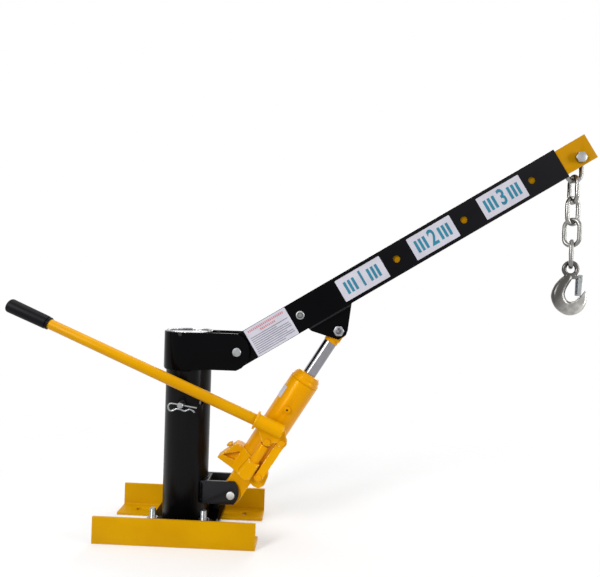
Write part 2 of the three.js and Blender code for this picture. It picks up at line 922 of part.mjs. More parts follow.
function linkRing() {
  const radius = chainInnerWidth / 2 + chainWireRadius;
  const straight = chainInnerLength / 2 + chainWireRadius - radius;
  const rings = [];
  for (const [side, centre] of [
    [1, straight],
    [-1, -straight],
  ]) {
    for (let step = 0; step <= chainArcSteps; step++) {
      const turn = (side < 0 ? Math.PI : 0) + (Math.PI * step) / chainArcSteps;
      const outward = new THREE.Vector3(Math.cos(turn), 0, Math.sin(turn));
      const middle = outward.clone().multiplyScalar(radius).add(new THREE.Vector3(0, 0, centre));
      rings.push(ringOfPoints(middle, outward, new THREE.Vector3(0, 1, 0), chainWireRadius, chainWireRadius, chainSides));
    }
  }
  return skinOver(rings, true);
}

// Points round a middle, spread along two directions.
function ringOfPoints(middle, first, second, firstRadius, secondRadius, count) {
  return Array.from({ length: count }, (_, index) => {
    const turn = (2 * Math.PI * index) / count;
    return middle
      .clone()
      .addScaledVector(first, firstRadius * Math.cos(turn))
      .addScaledVector(second, secondRadius * Math.sin(turn));
  });
}

function makeChain() {
  const chain = groupAt(0, 0, 0);
  const crown = chainInnerLength / 2 + chainWireRadius;
  const pitch = 2 * crown - 2 * chainWireRadius - clearance;
  let height = tipBoltRadius + clearance - chainInnerLength / 2;
  chainTurns.forEach((turn, index) => {
    const link = piece(`chain_link_${index + 1}`, linkRing(), zincPlate);
    link.position.z = height;
    link.rotation.z = THREE.MathUtils.degToRad(turn);
    chain.add(link);
    height -= pitch;
  });
  const lastCrown = height + pitch - crown;
  const eyeInner = hookEyeRadius - hookEyeWireRadius;
  const hook = groupAt(0, 0, lastCrown - (eyeInner - clearance - chainWireRadius));
  hook.add(piece("hook", hookBody(), zincPlate));
  hook.add(piece("latch_pin", latchPin(), zincPlate));
  hook.add(piece("hook_latch", hookLatch(), zincPlate));
  chain.add(hook);
  return chain;
}

// Stations down the hook: middle x and drop, half width and half thickness, as shares of
// the hook's reach, height, reach and thickness.
const hookStationShares = [
  [-0.02, 0.14, 0.17, 0.24],
  [-0.14, 0.2, 0.23, 0.34],
  [-0.36, 0.3, 0.29, 0.42],
  [-0.55, 0.42, 0.33, 0.48],
  [-0.64, 0.57, 0.36, 0.5],
  [-0.5, 0.73, 0.37, 0.5],
  [-0.21, 0.83, 0.375, 0.5],
  [0.08, 0.85, 0.385, 0.5],
  [0.42, 0.79, 0.36, 0.46],
  [0.65, 0.67, 0.26, 0.38],
  [0.77, 0.55, 0.13, 0.26],
  [0.83, 0.455, 0.035, 0.1],
];

function hookBody() {
  const middles = new THREE.CatmullRomCurve3(
    hookStationShares.map(([x, drop]) => new THREE.Vector3(x * hookReach, 0, -drop * hookHeight)),
    false,
    "centripetal",
  );
  const sizes = new THREE.CatmullRomCurve3(
    hookStationShares.map(([, , width, thick]) => new THREE.Vector3(width * hookReach, thick * hookThickness, 0)),
    false,
    "centripetal",
  );
  const sideways = new THREE.Vector3(0, 1, 0);
  const rings = Array.from({ length: hookSteps + 1 }, (_, index) => {
    const share = index / hookSteps;
    const size = sizes.getPoint(share);
    const across = new THREE.Vector3().crossVectors(sideways, middles.getTangent(share)).normalize();
    return ringOfPoints(middles.getPoint(share), across, sideways, size.x, size.y, hookSides);
  });
  const bowl = skinOver(rings);
  const eye = new THREE.TorusGeometry(hookEyeRadius, hookEyeWireRadius, chainSides, pinSides).rotateX(Math.PI / 2);
  const lug = barY(latchBossRadius, -latchInnerHalf(), latchInnerHalf(), latchPivotX, -latchPivotDrop);
  const arm = block(
    [0, -latchInnerHalf(), -latchPivotDrop - latchBossRadius],
    [latchPivotX, latchInnerHalf(), -latchPivotDrop + latchBossRadius / 2],
  );
  const pinHole = barY(latchPinRadius + clearance, -hookThickness, hookThickness, latchPivotX, -latchPivotDrop, arcSteps);
  return cut(join(bowl, eye, lug, arm), pinHole);
}

function latchInnerHalf() {
  return latchHalfWidth - latchSheet - clearance;
}

function latchPin() {
  const half = latchHalfWidth + clearance + latchPinRadius / 2;
  return barY(latchPinRadius, -half, half, latchPivotX, -latchPivotDrop, arcSteps);
}

// The latch is a bent sheet: two cheeks on the pin and a face that closes the hook's mouth.
function hookLatch() {
  const half = latchDepth / 2;
  const outline = [
    [half - latchSheet, latchBossRadius],
    [half, latchBossRadius],
    [half - latchSheet / 2, -latchLength],
    [-half + latchSheet, -latchLength],
    [-half, -latchBossRadius],
    [-half, latchBossRadius],
  ];
  const cheeks = plateXZ(outline.reverse(), -latchHalfWidth, latchHalfWidth);
  const gap = block(
    [-half - overrun, -latchHalfWidth + latchSheet, -latchLength - overrun],
    [half - latchSheet, latchHalfWidth - latchSheet, latchBossRadius + overrun],
  );
  const relief = block(
    [-half - overrun, -latchHalfWidth + latchSheet, -latchBossRadius - overrun],
    [half + overrun, latchHalfWidth - latchSheet, latchBossRadius + overrun],
  );
  const hole = barY(latchPinRadius + clearance, -hookThickness, hookThickness, 0, 0, arcSteps);
  const latch = cut(cheeks, gap, relief, hole);
  latch.rotateY(THREE.MathUtils.degToRad(latchLean));
  return latch.translate(latchPivotX, 0, -latchPivotDrop);
}

// Jack. Its own frame has the foot pin at the origin, X along the cylinder towards the boom,
// and Z towards the mast. Offsets named in the sizes are measured away from the mast, so Z is
// the offset with its sign turned.

function jackEar(fromY, toY) {
  const outline = [
    [earTopAlong, -earTopOffset],
    [earNeckAlong, -earNeckOffset],
    [earWideAlong, -earWideOffset],
    [earHeelAlong, -earHeelOffset],
    [earLowAlong, -earLowOffset],
    [earLowInAlong, -earLowInOffset],
    [pumpBlockLow, 0],
    [castingTop, 0],
    [castingTop, -pumpBlockFarSide],
  ];
  return plateXZ(outline.reverse(), fromY, toY);
}

// The pump's block in front of the casting, with the edges of its front face chamfered.
function pumpBlock() {
  const outline = [
    [castingTop, pumpBlockMastSide],
    [castingTop, -pumpBlockFarSide],
    [pumpBlockHeelAlong, -pumpBlockFarSide],
    [pumpBlockLow, 0],
    [pumpBlockHeelAlong, pumpBlockHeelOffset],
  ];
  const middle = (pumpBlockLow + castingTop) / 2;
  const inner = outline.map(([x, z]) => [
    x - Math.sign(x - middle) * pumpBlockRound,
    z - Math.sign(z) * pumpBlockRound,
  ]);
  const front = plateXZ(inner, pumpBlockFront, pumpBlockFront + pumpBlockRound);
  const rest = plateXZ(outline, pumpBlockFront + pumpBlockRound, 0);
  return hullOf(front, rest);
}

function valveHousing() {
  const outline = [
    [valveTipAlong, valveTipOffset],
    [castingStart, valveRootOffset],
    [castingTop, valveRootOffset],
    [castingTop, valveShoulderOffset],
    [valveTopAlong, valveTopOffset],
  ];
  const pocket = [
    [pocketTipAlong, pocketTipOffset],
    [pocketLowAlong, pocketRootOffset],
    [pocketTopAlong, pocketRootOffset],
  ];
  const reach = valveHalfThickness + overrun;
  return cut(
    plateXZ(outline, -valveHalfThickness, valveHalfThickness),
    plateXZ(pocket, -reach, -valveWebHalfThickness),
    plateXZ(pocket, valveWebHalfThickness, reach),
  );
}

// The valve's seat: a point on the housing's sloping face, and the turn of its axis.
function valveSeat() {
  const slope = Math.atan2(valveTopOffset - valveTipOffset, valveTopAlong - valveTipAlong);
  return {
    x: valveTipAlong + valveShare * (valveTopAlong - valveTipAlong),
    z: valveTipOffset + valveShare * (valveTopOffset - valveTipOffset),
    turn: -slope,
  };
}

function jackBase() {
  const lug = join(
    barY(lugRadius, -lugThickness / 2, lugThickness / 2, 0, 0, tubeSides),
    block([0, -lugThickness / 2, -lugRadius], [castingStart + overrun, lugThickness / 2, lugRadius]),
  );
  const round = alongX(
    turnedZ([
      [0, castingStart],
      [castingRadius - reservoirWall, castingStart],
      [castingRadius, castingStart + reservoirWall],
      [castingRadius, castingTop],
      [0, castingTop],
    ]),
  );
  const earFront = pumpAxisY + linkThickness / 2 + clearance;
  const ear = jackEar(earFront, -reservoirRadius - plateSideGap);
  const earRoot = jackEar(-reservoirRadius - plateSideGap - overrun / 2, -castingRadius / 2);
  const rootTrim = block(
    [castingTop, -reservoirRadius - plateSideGap, -earHeelOffset - overrun],
    [earTopAlong + overrun, overrun, overrun],
  );
  const body = join(lug, round, pumpBlock(), ear, cut(earRoot, rootTrim), valveHousing());
  const bore = alongX(discZ(cylinderRadius + clearance, castingFloor, castingTop + overrun));
  const footHole = barY(footPinRadius + clearance, -lugThickness, lugThickness, 0, 0);
  const pinHole = barY(
    pumpPinRadius + clearance,
    earFront - overrun,
    -castingRadius + overrun,
    linkPinAlong,
    -linkPinOffset,
  );
  const barrelHole = alongX(discZ(barrelRadius + clearance, barrelSeat, castingTop + overrun, pinSides));
  barrelHole.translate(0, pumpAxisY, 0);
  const seat = valveSeat();
  const valveHole = discZ(valveShankRadius + clearance, -valveBoreDepth, overrun, pinSides)
    .rotateY(seat.turn)
    .translate(seat.x, 0, seat.z);
  return cut(body, bore, footHole, pinHole, barrelHole, valveHole);
}

function releaseValve() {
  const seat = valveSeat();
  const screw = turnedZ(
    [
      [0, -valveBoreDepth + clearance],
      [valveShankRadius, -valveBoreDepth + clearance],
      [valveShankRadius, 0],
      [valveNeckRadius, 0],
      [valveNeckRadius, valveNeckLength],
      [valveKnobRadius, valveNeckLength],
      [valveKnobRadius, valveNeckLength + valveKnobLength],
      [0, valveNeckLength + valveKnobLength],
    ],
    pinSides,
  );
  const cross = alongX(discZ(valveBarRadius, -valveBarLength / 2, valveBarLength / 2, arcSteps));
  cross.translate(0, 0, valveNeckLength + valveKnobLength / 2);
  return join(screw, cross).rotateY(seat.turn).translate(seat.x, 0, seat.z);
}

function reservoirTube() {
  const tube = alongX(
    ringZ(reservoirRadius, reservoirRadius - reservoirWall, castingTop + clearance, reservoirTop),
  );
  const hole = barY(fillerShankRadius + clearance, -reservoirRadius - overrun, 0, fillerAlong);
  return cut(tube, hole);
}

function cylinderHead() {
  const spigotRadius = reservoirRadius - reservoirWall - clearance;
  const bore = rodRadius + clearance;
  const rimBase = reservoirTop + clearance;
  const spigotLow = rimBase - headSpigotDepth;
  const points = [
    [bore, spigotLow],
    [spigotRadius, spigotLow],
    [spigotRadius, rimBase],
    [reservoirRadius, rimBase],
    [reservoirRadius, headRimTop],
    [headShoulderRadius, (headRimTop + headShoulderTop) / 2],
    [headShoulderRadius, headShoulderTop],
    [headNeckRadius, headTop],
    [headLipRadius, headTop + headLipHeight],
    [bore, headTop + headLipHeight],
    [bore, spigotLow],
  ];
  return alongX(turnedZ(points));
}

function fillerPlug() {
  const head = barY(fillerRadius, -reservoirRadius - fillerHeight, -reservoirRadius - clearance, 0, 0);
  const shank = barY(fillerShankRadius, -reservoirRadius - fillerHeight / 2, -reservoirRadius + 2 * reservoirWall);
  return join(head, shank).translate(fillerAlong, 0, 0);
}

function rodEye() {
  const start = jackLength - rodEyeLength;
  const flat = -rodEyeThickness / 2;
  const lug = join(
    barY(rodEyeRadius, -flat, flat, jackLength, 0, tubeSides),
    block([start + rodSocketDepth, flat, -rodCollarRadius], [jackLength, -flat, rodCollarRadius]),
  );
  const collar = alongX(discZ(rodCollarRadius, start, jackLength - rodEyeRadius / 2));
  const socket = alongX(discZ(rodSpigotRadius + clearance, start - overrun, start + rodSocketDepth));
  const hole = barY(yokeBoltRadius + rodEyePlay, flat - overrun, overrun - flat, jackLength, 0, tubeSides);
  return cut(join(lug, collar), socket, hole);
}

function jackRod() {
  const spigotStart = pistonStart + clearance;
  const shoulder = pistonStart + pistonHeight + sealHeight + 2 * clearance;
  const top = jackLength - rodEyeLength - clearance;
  const points = [
    [0, spigotStart],
    [rodSpigotRadius, spigotStart],
    [rodSpigotRadius, shoulder],
    [rodRadius, shoulder],
    [rodRadius, top],
    [rodSpigotRadius, top],
    [rodSpigotRadius, top + rodSocketDepth],
    [0, top + rodSocketDepth],
  ];
  return alongX(turnedZ(points));
}

function pumpPlunger() {
  const shank = alongX(discZ(plungerRadius, plungerStart, plungerPinAlong, pinSides));
  const head = barY(plungerHeadRadius, -plungerHeadThickness / 2, plungerHeadThickness / 2, plungerPinAlong, 0);
  const holeRadius = pumpPinRadius + 2 * clearance;
  const slotReach = plungerHeadThickness / 2 + overrun;
  const slotEnds = [-1, 1].map((side) =>
    barY(holeRadius, -slotReach, slotReach, plungerPinAlong, side * plungerSlotPlay),
  );
  const slotMiddle = box(2 * holeRadius, 2 * slotReach, 2 * plungerSlotPlay, plungerPinAlong, 0, 0);
  return cut(join(shank, head), ...slotEnds, slotMiddle).translate(0, pumpAxisY, 0);
}

function makeJack() {
  const jack = groupAt(clevisPinX, 0, clevisPinHeight, -jackTurn);
  jack.add(piece("jack_base", jackBase(), yellowPaint));
  jack.add(piece("reservoir", reservoirTube(), yellowPaint));
  const cylinder = ringZ(
    cylinderRadius,
    cylinderRadius - cylinderWall,
    castingFloor + clearance,
    reservoirTop - headSpigotDepth,
  );
  jack.add(piece("pressure_cylinder", alongX(cylinder), bareSteel));
  jack.add(piece("cylinder_head", cylinderHead(), yellowPaint));
  jack.add(piece("filler_plug", fillerPlug(), yellowPaint));
  jack.add(piece("release_valve", releaseValve(), yellowPaint));
  const barrel = alongX(ringZ(barrelRadius, plungerRadius + clearance, barrelSeat + clearance, barrelTop, pinSides));
  jack.add(piece("pump_barrel", barrel.translate(0, pumpAxisY, 0), yellowPaint));
  jack.add(piece("pump_plunger", pumpPlunger(), zincPlate));
  const linkPin = pumpPin(pumpAxisY - linkThickness / 2, -castingRadius).translate(linkPinAlong, 0, -linkPinOffset);
  jack.add(piece("link_pin", linkPin, yellowPaint));
  jack.add(makeRam());
  jack.add(makePumpLink());
  return jack;
}

function makeRam() {
  const ram = groupAt(0, 0, 0);
  const pistonBore = rodSpigotRadius + clearance;
  const pistonRadius = cylinderRadius - cylinderWall - clearance;
  const sealStart = pistonStart + pistonHeight + clearance;
  const piston = alongX(ringZ(pistonRadius, pistonBore, pistonStart, pistonStart + pistonHeight));
  const seal = alongX(ringZ(pistonRadius, pistonBore, sealStart, sealStart + sealHeight));
  ram.add(piece("jack_rod", jackRod(), chromePlate));
  ram.add(piece("rod_eye", rodEye(), yellowPaint));
  ram.add(piece("piston", piston, bareSteel));
  ram.add(piece("piston_seal", seal, blackRubber));
  return ram;
}

// A headed pin along Y whose head is at the front.
function pumpPin(frontY, backY) {
  const head = chamferedPinY(pumpPinHeadRadius, frontY - pumpPinHeadHeight - clearance, frontY - clearance, pumpPinHeadHeight / 3);
  return join(head, barY(pumpPinRadius, frontY - pumpPinHeadHeight / 2, backY));
}

// The link's frame has its lower pin at the origin, with the upper pin straight above it
// apart from the small step between the two offsets.
function makePumpLink() {
  const link = groupAt(linkPinAlong, 0, -linkPinOffset);
  const upperX = leverPinAlong - linkPinAlong;
  const upperZ = linkPinOffset - leverPinOffset;
  const half = linkThickness / 2;
  const bar = join(
    barY(linkEndRadius, pumpAxisY - half, pumpAxisY + half, 0, 0),
    barY(linkEndRadius, pumpAxisY - half, pumpAxisY + half, upperX, upperZ),
    plateXZ(
      [
        [0, -linkHalfWidth],
        [upperX, upperZ - linkHalfWidth],
        [upperX, upperZ + linkHalfWidth],
        [0, linkHalfWidth],
      ],
      pumpAxisY - half,
      pumpAxisY + half,
    ),
  );
  const reach = half + overrun;
  const holes = [
    [0, 0],
    [upperX, upperZ],
  ].map(([x, z]) => barY(pumpPinRadius + clearance, pumpAxisY - reach, pumpAxisY + reach, x, z));
  link.add(piece("pump_link", cut(bar, ...holes), yellowPaint));
  const lever = makeLever();
  lever.position.set(upperX, 0, upperZ);
  link.add(lever);
  return link;
}

// Where the plunger's pin and the socket lie, seen from the lever's own pivot.
const plungerPinX = plungerPinAlong - leverPinAlong;
const plungerPinZ = leverPinOffset;
const socketMouthX = socketMouthAlong - leverPinAlong;
const socketMouthZ = leverPinOffset - socketMouthOffset;
const socketTurn = THREE.MathUtils.degToRad(socketLean);

// A solid turned about Z, laid along the socket with its mouth at height zero.
function alongSocket(geometry) {
  return geometry.rotateY(socketTurn).translate(socketMouthX, socketAxisY, socketMouthZ);
}

function leverCheek() {
  const cheek = new THREE.Shape();
  const socketFootZ = socketMouthZ - socketLength * Math.cos(socketTurn);
  const socketFootX = socketMouthX - socketLength * Math.sin(socketTurn);
  const startZ = socketMouthZ - 2 * socketFlangeThickness;
  cheek.moveTo(socketMouthX - socketRadius + leverThickness / 2, startZ);
  cheek.quadraticCurveTo(
    plungerPinX,
    plungerPinZ + 2 * leverBossRadius,
    plungerPinX - leverBossRadius * Math.SQRT1_2,
    plungerPinZ + leverBossRadius * Math.SQRT1_2,
  );
  cheek.absarc(plungerPinX, plungerPinZ, leverBossRadius, 0.75 * Math.PI, 1.5 * Math.PI, false);
  cheek.quadraticCurveTo(
    plungerPinX + leverBossRadius,
    plungerPinZ / 2,
    -leverBossRadius * Math.SQRT1_2,
    leverBossRadius * Math.SQRT1_2,
  );
  cheek.absarc(0, 0, leverBossRadius, 0.75 * Math.PI, 1.75 * Math.PI, false);
  cheek.lineTo(socketFootX + socketRadius / 2, socketFootZ + clearance);
  cheek.lineTo(socketMouthX, startZ);
  const back = pumpAxisY - linkThickness / 2 - clearance;
  return plateXZ(cheek, back - leverThickness, back);
}

function handleSocket() {
  const tube = discZ(socketRadius, -socketLength, 0);
  const flange = discZ(socketFlangeRadius, -socketFlangeThickness, 0);
  const ears = box(
    2 * socketEarReach,
    socketEarWidth,
    socketFlangeThickness,
    0,
    0,
    -socketFlangeThickness / 2,
  );
  const bore = discZ(handleRadius + clearance, -socketDepth, overrun);
  const body = join(leverCheek(), alongSocket(tube), alongSocket(flange), alongSocket(ears));
  const back = pumpAxisY - linkThickness / 2;
  const holes = [
    [0, 0],
    [plungerPinX, plungerPinZ],
  ].map(([x, z]) => barY(pumpPinRadius + clearance, back - leverThickness - 2 * overrun, back + overrun, x, z));
  return cut(body, alongSocket(bore), ...holes);
}

function makeLever() {
  const lever = groupAt(0, 0, 0);
  lever.add(piece("handle_socket", handleSocket(), yellowPaint));
  const front = pumpAxisY - linkThickness / 2 - clearance - leverThickness;
  const backY = pumpAxisY + linkThickness / 2;
  lever.add(piece("lever_pin", pumpPin(front, backY), yellowPaint));
  const plungerPin = pumpPin(front, backY).translate(plungerPinX, 0, plungerPinZ);
  lever.add(piece("plunger_pin", plungerPin, yellowPaint));
  lever.add(makeHandle());
  return lever;
}

function makeHandle() {
  const handle = groupAt(socketMouthX, socketAxisY, socketMouthZ, socketTurn);
  const start = clearance - socketDepth;
  const gripStart = handleReach - gripLength;
  const tubeEnd = gripStart + gripOverlap;
  const tube = turnedZ(
    [
      [handleBore, start],
      [handleRadius, start],
      [handleRadius, 0],
      [handleEndRadius, tubeEnd],
      [handleBore, tubeEnd],
      [handleBore, start],
    ],
    pinSides,
  );
  handle.add(piece("handle_tube", tube, yellowPaint));
  handle.add(piece("handle_grip", handleGrip(gripStart, tubeEnd), blackRubber));
  return handle;
}

function handleGrip(start, tubeEnd) {
  const bore = handleEndRadius + 2 * clearance;
  const wide = handleEndRadius + (handleRadius - handleEndRadius) * (gripOverlap / handleReach) + 2 * clearance;
  const flat = gripEndRadius - gripEndRound;
  const roundEnd = arcPoints(flat, handleReach - gripEndRound, gripEndRound, 0, Math.PI / 2, arcSteps / 2);
  const points = [
    [wide, start],
    [gripCollarRadius, start],
    [gripCollarRadius, start + gripCollarLength],
    [gripRadius, start + gripCollarLength],
    ...roundEnd,
    [0, handleReach],
    [0, tubeEnd + clearance],
    [bore, tubeEnd + clearance],
    [wide, start],
  ];
  return turnedZ(points, pinSides);
}

// The whole crane, with its origin under the middle of its overall box

const crane = new THREE.Group();
crane.add(makeBase(), makeMast(), makeBoom(), makeJack());

function centred(machine) {
  machine.updateMatrixWorld(true);
  const bounds = new THREE.Box3().setFromObject(machine, true);
  const middle = bounds.getCenter(new THREE.Vector3());
  machine.position.set(-middle.x, -middle.y, -bounds.min.z);
  return machine;
}

export default centred(crane);
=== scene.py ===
"""The looks of a small hydraulic jib crane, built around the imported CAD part.

Sizes are in millimetres, unless a comment says otherwise, and are turned to metres where a mesh
is made. Most places are in the frame of their part of the crane.
"""

import json
import math
import random

import bmesh
import bpy
from mathutils import Matrix, Vector


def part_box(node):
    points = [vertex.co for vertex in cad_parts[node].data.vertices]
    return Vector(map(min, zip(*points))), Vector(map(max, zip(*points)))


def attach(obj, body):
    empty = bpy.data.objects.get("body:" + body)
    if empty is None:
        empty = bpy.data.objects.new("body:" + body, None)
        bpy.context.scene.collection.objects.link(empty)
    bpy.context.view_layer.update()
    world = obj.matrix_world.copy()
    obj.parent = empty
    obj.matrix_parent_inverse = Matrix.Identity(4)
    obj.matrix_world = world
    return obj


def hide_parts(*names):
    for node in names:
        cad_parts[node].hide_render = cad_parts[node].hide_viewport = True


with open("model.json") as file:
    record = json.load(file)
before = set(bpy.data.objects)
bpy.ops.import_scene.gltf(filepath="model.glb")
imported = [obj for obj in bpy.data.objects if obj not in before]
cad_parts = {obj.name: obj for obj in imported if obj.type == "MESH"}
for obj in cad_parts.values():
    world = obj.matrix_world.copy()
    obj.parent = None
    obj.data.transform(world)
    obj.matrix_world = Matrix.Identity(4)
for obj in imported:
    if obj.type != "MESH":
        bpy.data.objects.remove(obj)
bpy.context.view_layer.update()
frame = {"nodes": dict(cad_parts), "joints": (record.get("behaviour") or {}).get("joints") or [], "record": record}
joints = {joint["name"]: joint for joint in frame["joints"]}

# Sizes that several parts share

MM = 0.001
ROUND_SIDES = 96
PIN_SIDES = 48
BOOM_ANGLE = math.radians(32.1)
BOOM_HALF = 30.0
MAST_RADIUS = 44.5
STICKER_THICKNESS = 0.25
STICKER_LIFT = 0.05


def joint_point(name):
    return Vector(joints[name]["pos_m"]) / MM


mast_x = joint_point("mast_swivel").x
boom_origin = joint_point("boom_luff")
jack_origin = joint_point("jack_tilt")
jack_axis = Vector(joints["ram_slide"]["axis"])
handle_axis = Vector(joints["handle_pull"]["axis"])

# Frames of the crane's parts: each turns local millimetres into the CAD frame
BASE = Matrix.Translation((mast_x, 0, 0))
BOOM = Matrix.Translation(boom_origin) @ Matrix.Rotation(-BOOM_ANGLE, 4, "Y")
JACK = Matrix.Translation(jack_origin) @ Matrix.Rotation(-math.atan2(jack_axis.z, jack_axis.x), 4, "Y")


# Materials

# Places of a colour mix node's two colours and of its result
MIX_FIRST = 6
MIX_SECOND = 7
MIX_RESULT = 2


class Nodes:
    """Short calls to build one material's nodes."""

    def __init__(self, name):
        self.material = bpy.data.materials.new(name)
        self.material.use_nodes = True
        self.tree = self.material.node_tree
        self.shader = self.tree.nodes["Principled BSDF"]
        place = self.tree.nodes.new("ShaderNodeTexCoord")
        self.place = place.outputs["Object"]

    def add(self, kind, values=None, links=None, **settings):
        node = self.tree.nodes.new(kind)
        for key, value in settings.items():
            setattr(node, key, value)
        for key, value in (values or {}).items():
            node.inputs[key].default_value = value
        for key, socket in (links or {}).items():
            self.tree.links.new(socket, node.inputs[key])
        return node

    def feed(self, socket, value):
        """Links another node's output to a socket, or sets a plain value on it."""
        if hasattr(value, "default_value"):
            self.tree.links.new(value, socket)
        else:
            socket.default_value = value

    def noise(self, scale, detail=3.0, roughness=0.55):
        values = {"Scale": scale, "Detail": detail, "Roughness": roughness}
        return self.add("ShaderNodeTexNoise", values, {"Vector": self.place}).outputs["Fac"]

    def ramp(self, factor, low, high, low_value=0.0, high_value=1.0):
        values = {"From Min": low, "From Max": high, "To Min": low_value, "To Max": high_value}
        node = self.add("ShaderNodeMapRange", values, {"Value": factor}, clamp=True)
        return node.outputs["Result"]

    def mix(self, factor, first, second):
        node = self.add("ShaderNodeMix", data_type="RGBA")
        self.feed(node.inputs[MIX_FIRST], first)
        self.feed(node.inputs[MIX_SECOND], second)
        self.feed(node.inputs[0], factor)
        return node.outputs[MIX_RESULT]

    def multiply(self, first, second):
        node = self.add("ShaderNodeMath", operation="MULTIPLY")
        self.feed(node.inputs[0], first)
        self.feed(node.inputs[1], second)
        return node.outputs[0]

    def reach(self, start, direction, low, high):
        """How far a place lies along a direction from the start: 0 up to low, 1 from high on."""
        offset = self.add("ShaderNodeVectorMath", {1: start * MM}, {0: self.place}, operation="SUBTRACT")
        links = {0: offset.outputs["Vector"]}
        along_it = self.add("ShaderNodeVectorMath", {1: direction}, links, operation="DOT_PRODUCT")
        return self.ramp(along_it.outputs["Value"], low * MM, high * MM)

    def roughen(self, noise, low, high):
        """Roughness between two values, in soft patches."""
        self.link(self.ramp(noise, 0.3, 0.7, low, high), "Roughness")

    def bump(self, height, strength, distance):
        values = {"Strength": strength, "Distance": distance}
        node = self.add("ShaderNodeBump", values, {"Height": height})
        self.link(node.outputs["Normal"], "Normal")

    def link(self, socket, name):
        self.tree.links.new(socket, self.shader.inputs[name])

    def set(self, **values):
        for key, value in values.items():
            self.shader.inputs[key.replace("_", " ")].default_value = value


def linear(hex_colour):
    """A colour written as six hex digits, in linear values."""
    channels = [int(hex_colour[i : i + 2], 16) / 255 for i in (0, 2, 4)]
    return (*[c / 12.92 if c <= 0.04045 else ((c + 0.055) / 1.055) ** 2.4 for c in channels], 1.0)


def paint(
    name,
    colour,
    patches,
    wear_and_glint_colour,
    roughness=0.4,
    wear_and_glint_amount=0.5,
    coat=1.0,
    coat_ior=1.12,
    coat_roughness=0.07,
    specular=0.0,
    tint="ffffff",
    edges=(0.56, 0.66),
    specks=(160.0, 0.66),
    painted_sheen=None,
):
    """Sprayed paint: soft tone changes, faint orange peel, and specks of a second colour at sharp edges.

    Edges are the pointiness where the specks begin and where they are full. Specks are the scale
    of their noise and where they begin. On most paints the specks are primer showing through; on
    the casting they are painted glints, light specks standing in for highlights. Painted sheen is a
    paler colour, painted in to stand in for reflected light, with the start, the direction, the low
    and the high of its reach.
    """
    n = Nodes(name)
    tone = n.ramp(n.noise(9.0, 4.0), 0.35, 0.68)
    body = n.mix(tone, linear(colour), linear(patches))
    # Painted sheen: towards one end the colour grows paler, standing in for reflected light
    if painted_sheen:
        pale, start, direction, low, high = painted_sheen
        body = n.mix(n.reach(start, direction, low, high), body, linear(pale))
    pointiness = n.add("ShaderNodeNewGeometry").outputs["Pointiness"]
    speck_scale, speck_start = specks
    speck = n.ramp(n.noise(speck_scale, 2.0), speck_start, speck_start + 0.04)
    # The specks at sharp edges: primer showing through on most paints, painted glints standing in for highlights
    # on the casting
    wear_and_glints = n.multiply(n.multiply(n.ramp(pointiness, *edges), speck), wear_and_glint_amount)
    n.link(n.mix(wear_and_glints, body, linear(wear_and_glint_colour)), "Base Color")
    n.roughen(n.noise(24.0), roughness - 0.05, roughness + 0.09)
    n.bump(n.noise(420.0, 1.0), 0.02, 0.0003)
    n.set(Specular_IOR_Level=specular, Specular_Tint=linear(tint))
    n.set(Coat_Weight=coat, Coat_IOR=coat_ior, Coat_Roughness=coat_roughness)
    return n.material


def metal(name, colour, patches, roughness, scale=60.0, bump=0.1):
    """Plated or bare metal with patches of a darker tone and fine marks."""
    n = Nodes(name)
    tone = n.ramp(n.noise(scale, 4.0, 0.6), 0.36, 0.66)
    n.link(n.mix(tone, linear(colour), linear(patches)), "Base Color")
    n.roughen(n.noise(scale * 2.3, 3.0, 0.6), roughness - 0.06, roughness + 0.12)
    n.bump(n.noise(scale * 6, 2.0, 0.6), bump, 0.0004)
    n.set(Metallic=1.0)
    return n.material


def graded(name, dull, bright, roughness, start, direction, low, high):
    """Plated steel with mottled patches and a painted sheen: it brightens from one side to the
    other, standing in for reflected light.
    """
    n = Nodes(name)
    mottle = n.ramp(n.noise(95.0, 4.0, 0.6), 0.35, 0.65, 0.55, 1.0)
    tone = n.multiply(n.reach(start, direction, low, high), mottle)
    n.link(n.mix(tone, linear(dull), linear(bright)), "Base Color")
    n.roughen(n.noise(60.0), roughness - 0.06, roughness + 0.12)
    n.bump(n.noise(300.0, 2.0), 0.05, 0.0004)
    n.set(Metallic=1.0)
    return n.material


def rubber(name, colour, patches):
    n = Nodes(name)
    n.link(n.mix(n.noise(30.0), linear(colour), linear(patches)), "Base Color")
    n.roughen(n.noise(30.0), 0.34, 0.46)
    n.bump(n.noise(120.0, 2.0), 0.03, 0.0003)
    n.set(Specular_IOR_Level=0.08)
    return n.material


def paper(name, colour, patches):
    n = Nodes(name)
    n.link(n.mix(n.ramp(n.noise(40.0), 0.35, 0.65), linear(colour), linear(patches)), "Base Color")
    n.roughen(n.noise(90.0), 0.45, 0.6)
    return n.material


# The tint of what the yellow paints reflect, and the colours that worn edges show
GOLD = "ffb400"
DARK_PRIMER = "8a6414"
DULL_PRIMER = "7c5e1c"
BARE_PRIMER = "303033"
# The shine of the yellow jack and handle, and of the satin floor angles and boom end
gloss = {"coat": 0.4, "coat_ior": 1.2, "tint": GOLD}
satin = {
    "roughness": 0.5,
    "coat": 0.4,
    "coat_ior": 1.16,
    "coat_roughness": 0.3,
    "specular": 0.2,
    "tint": GOLD,
}
# Painted sheen on the black boom: paler towards its tip, standing in for reflected light
boom_painted_sheen = ("1f1f22", boom_origin, (math.cos(BOOM_ANGLE), 0.0, math.sin(BOOM_ANGLE)), 200.0, 700.0)

yellow = paint(
    "yellow_gloss", "eba300", "e39a00", DARK_PRIMER, roughness=0.3, coat_roughness=0.09, specular=0.5, **gloss
)
mustard_tip = paint("mustard_tip", "c98f00", "c08700", DULL_PRIMER, **satin)
yellow_handle = paint(
    "yellow_handle", "db9e00", "d39500", "b0821c", wear_and_glint_amount=0.1, coat_roughness=0.2, specular=0.3, **gloss
)
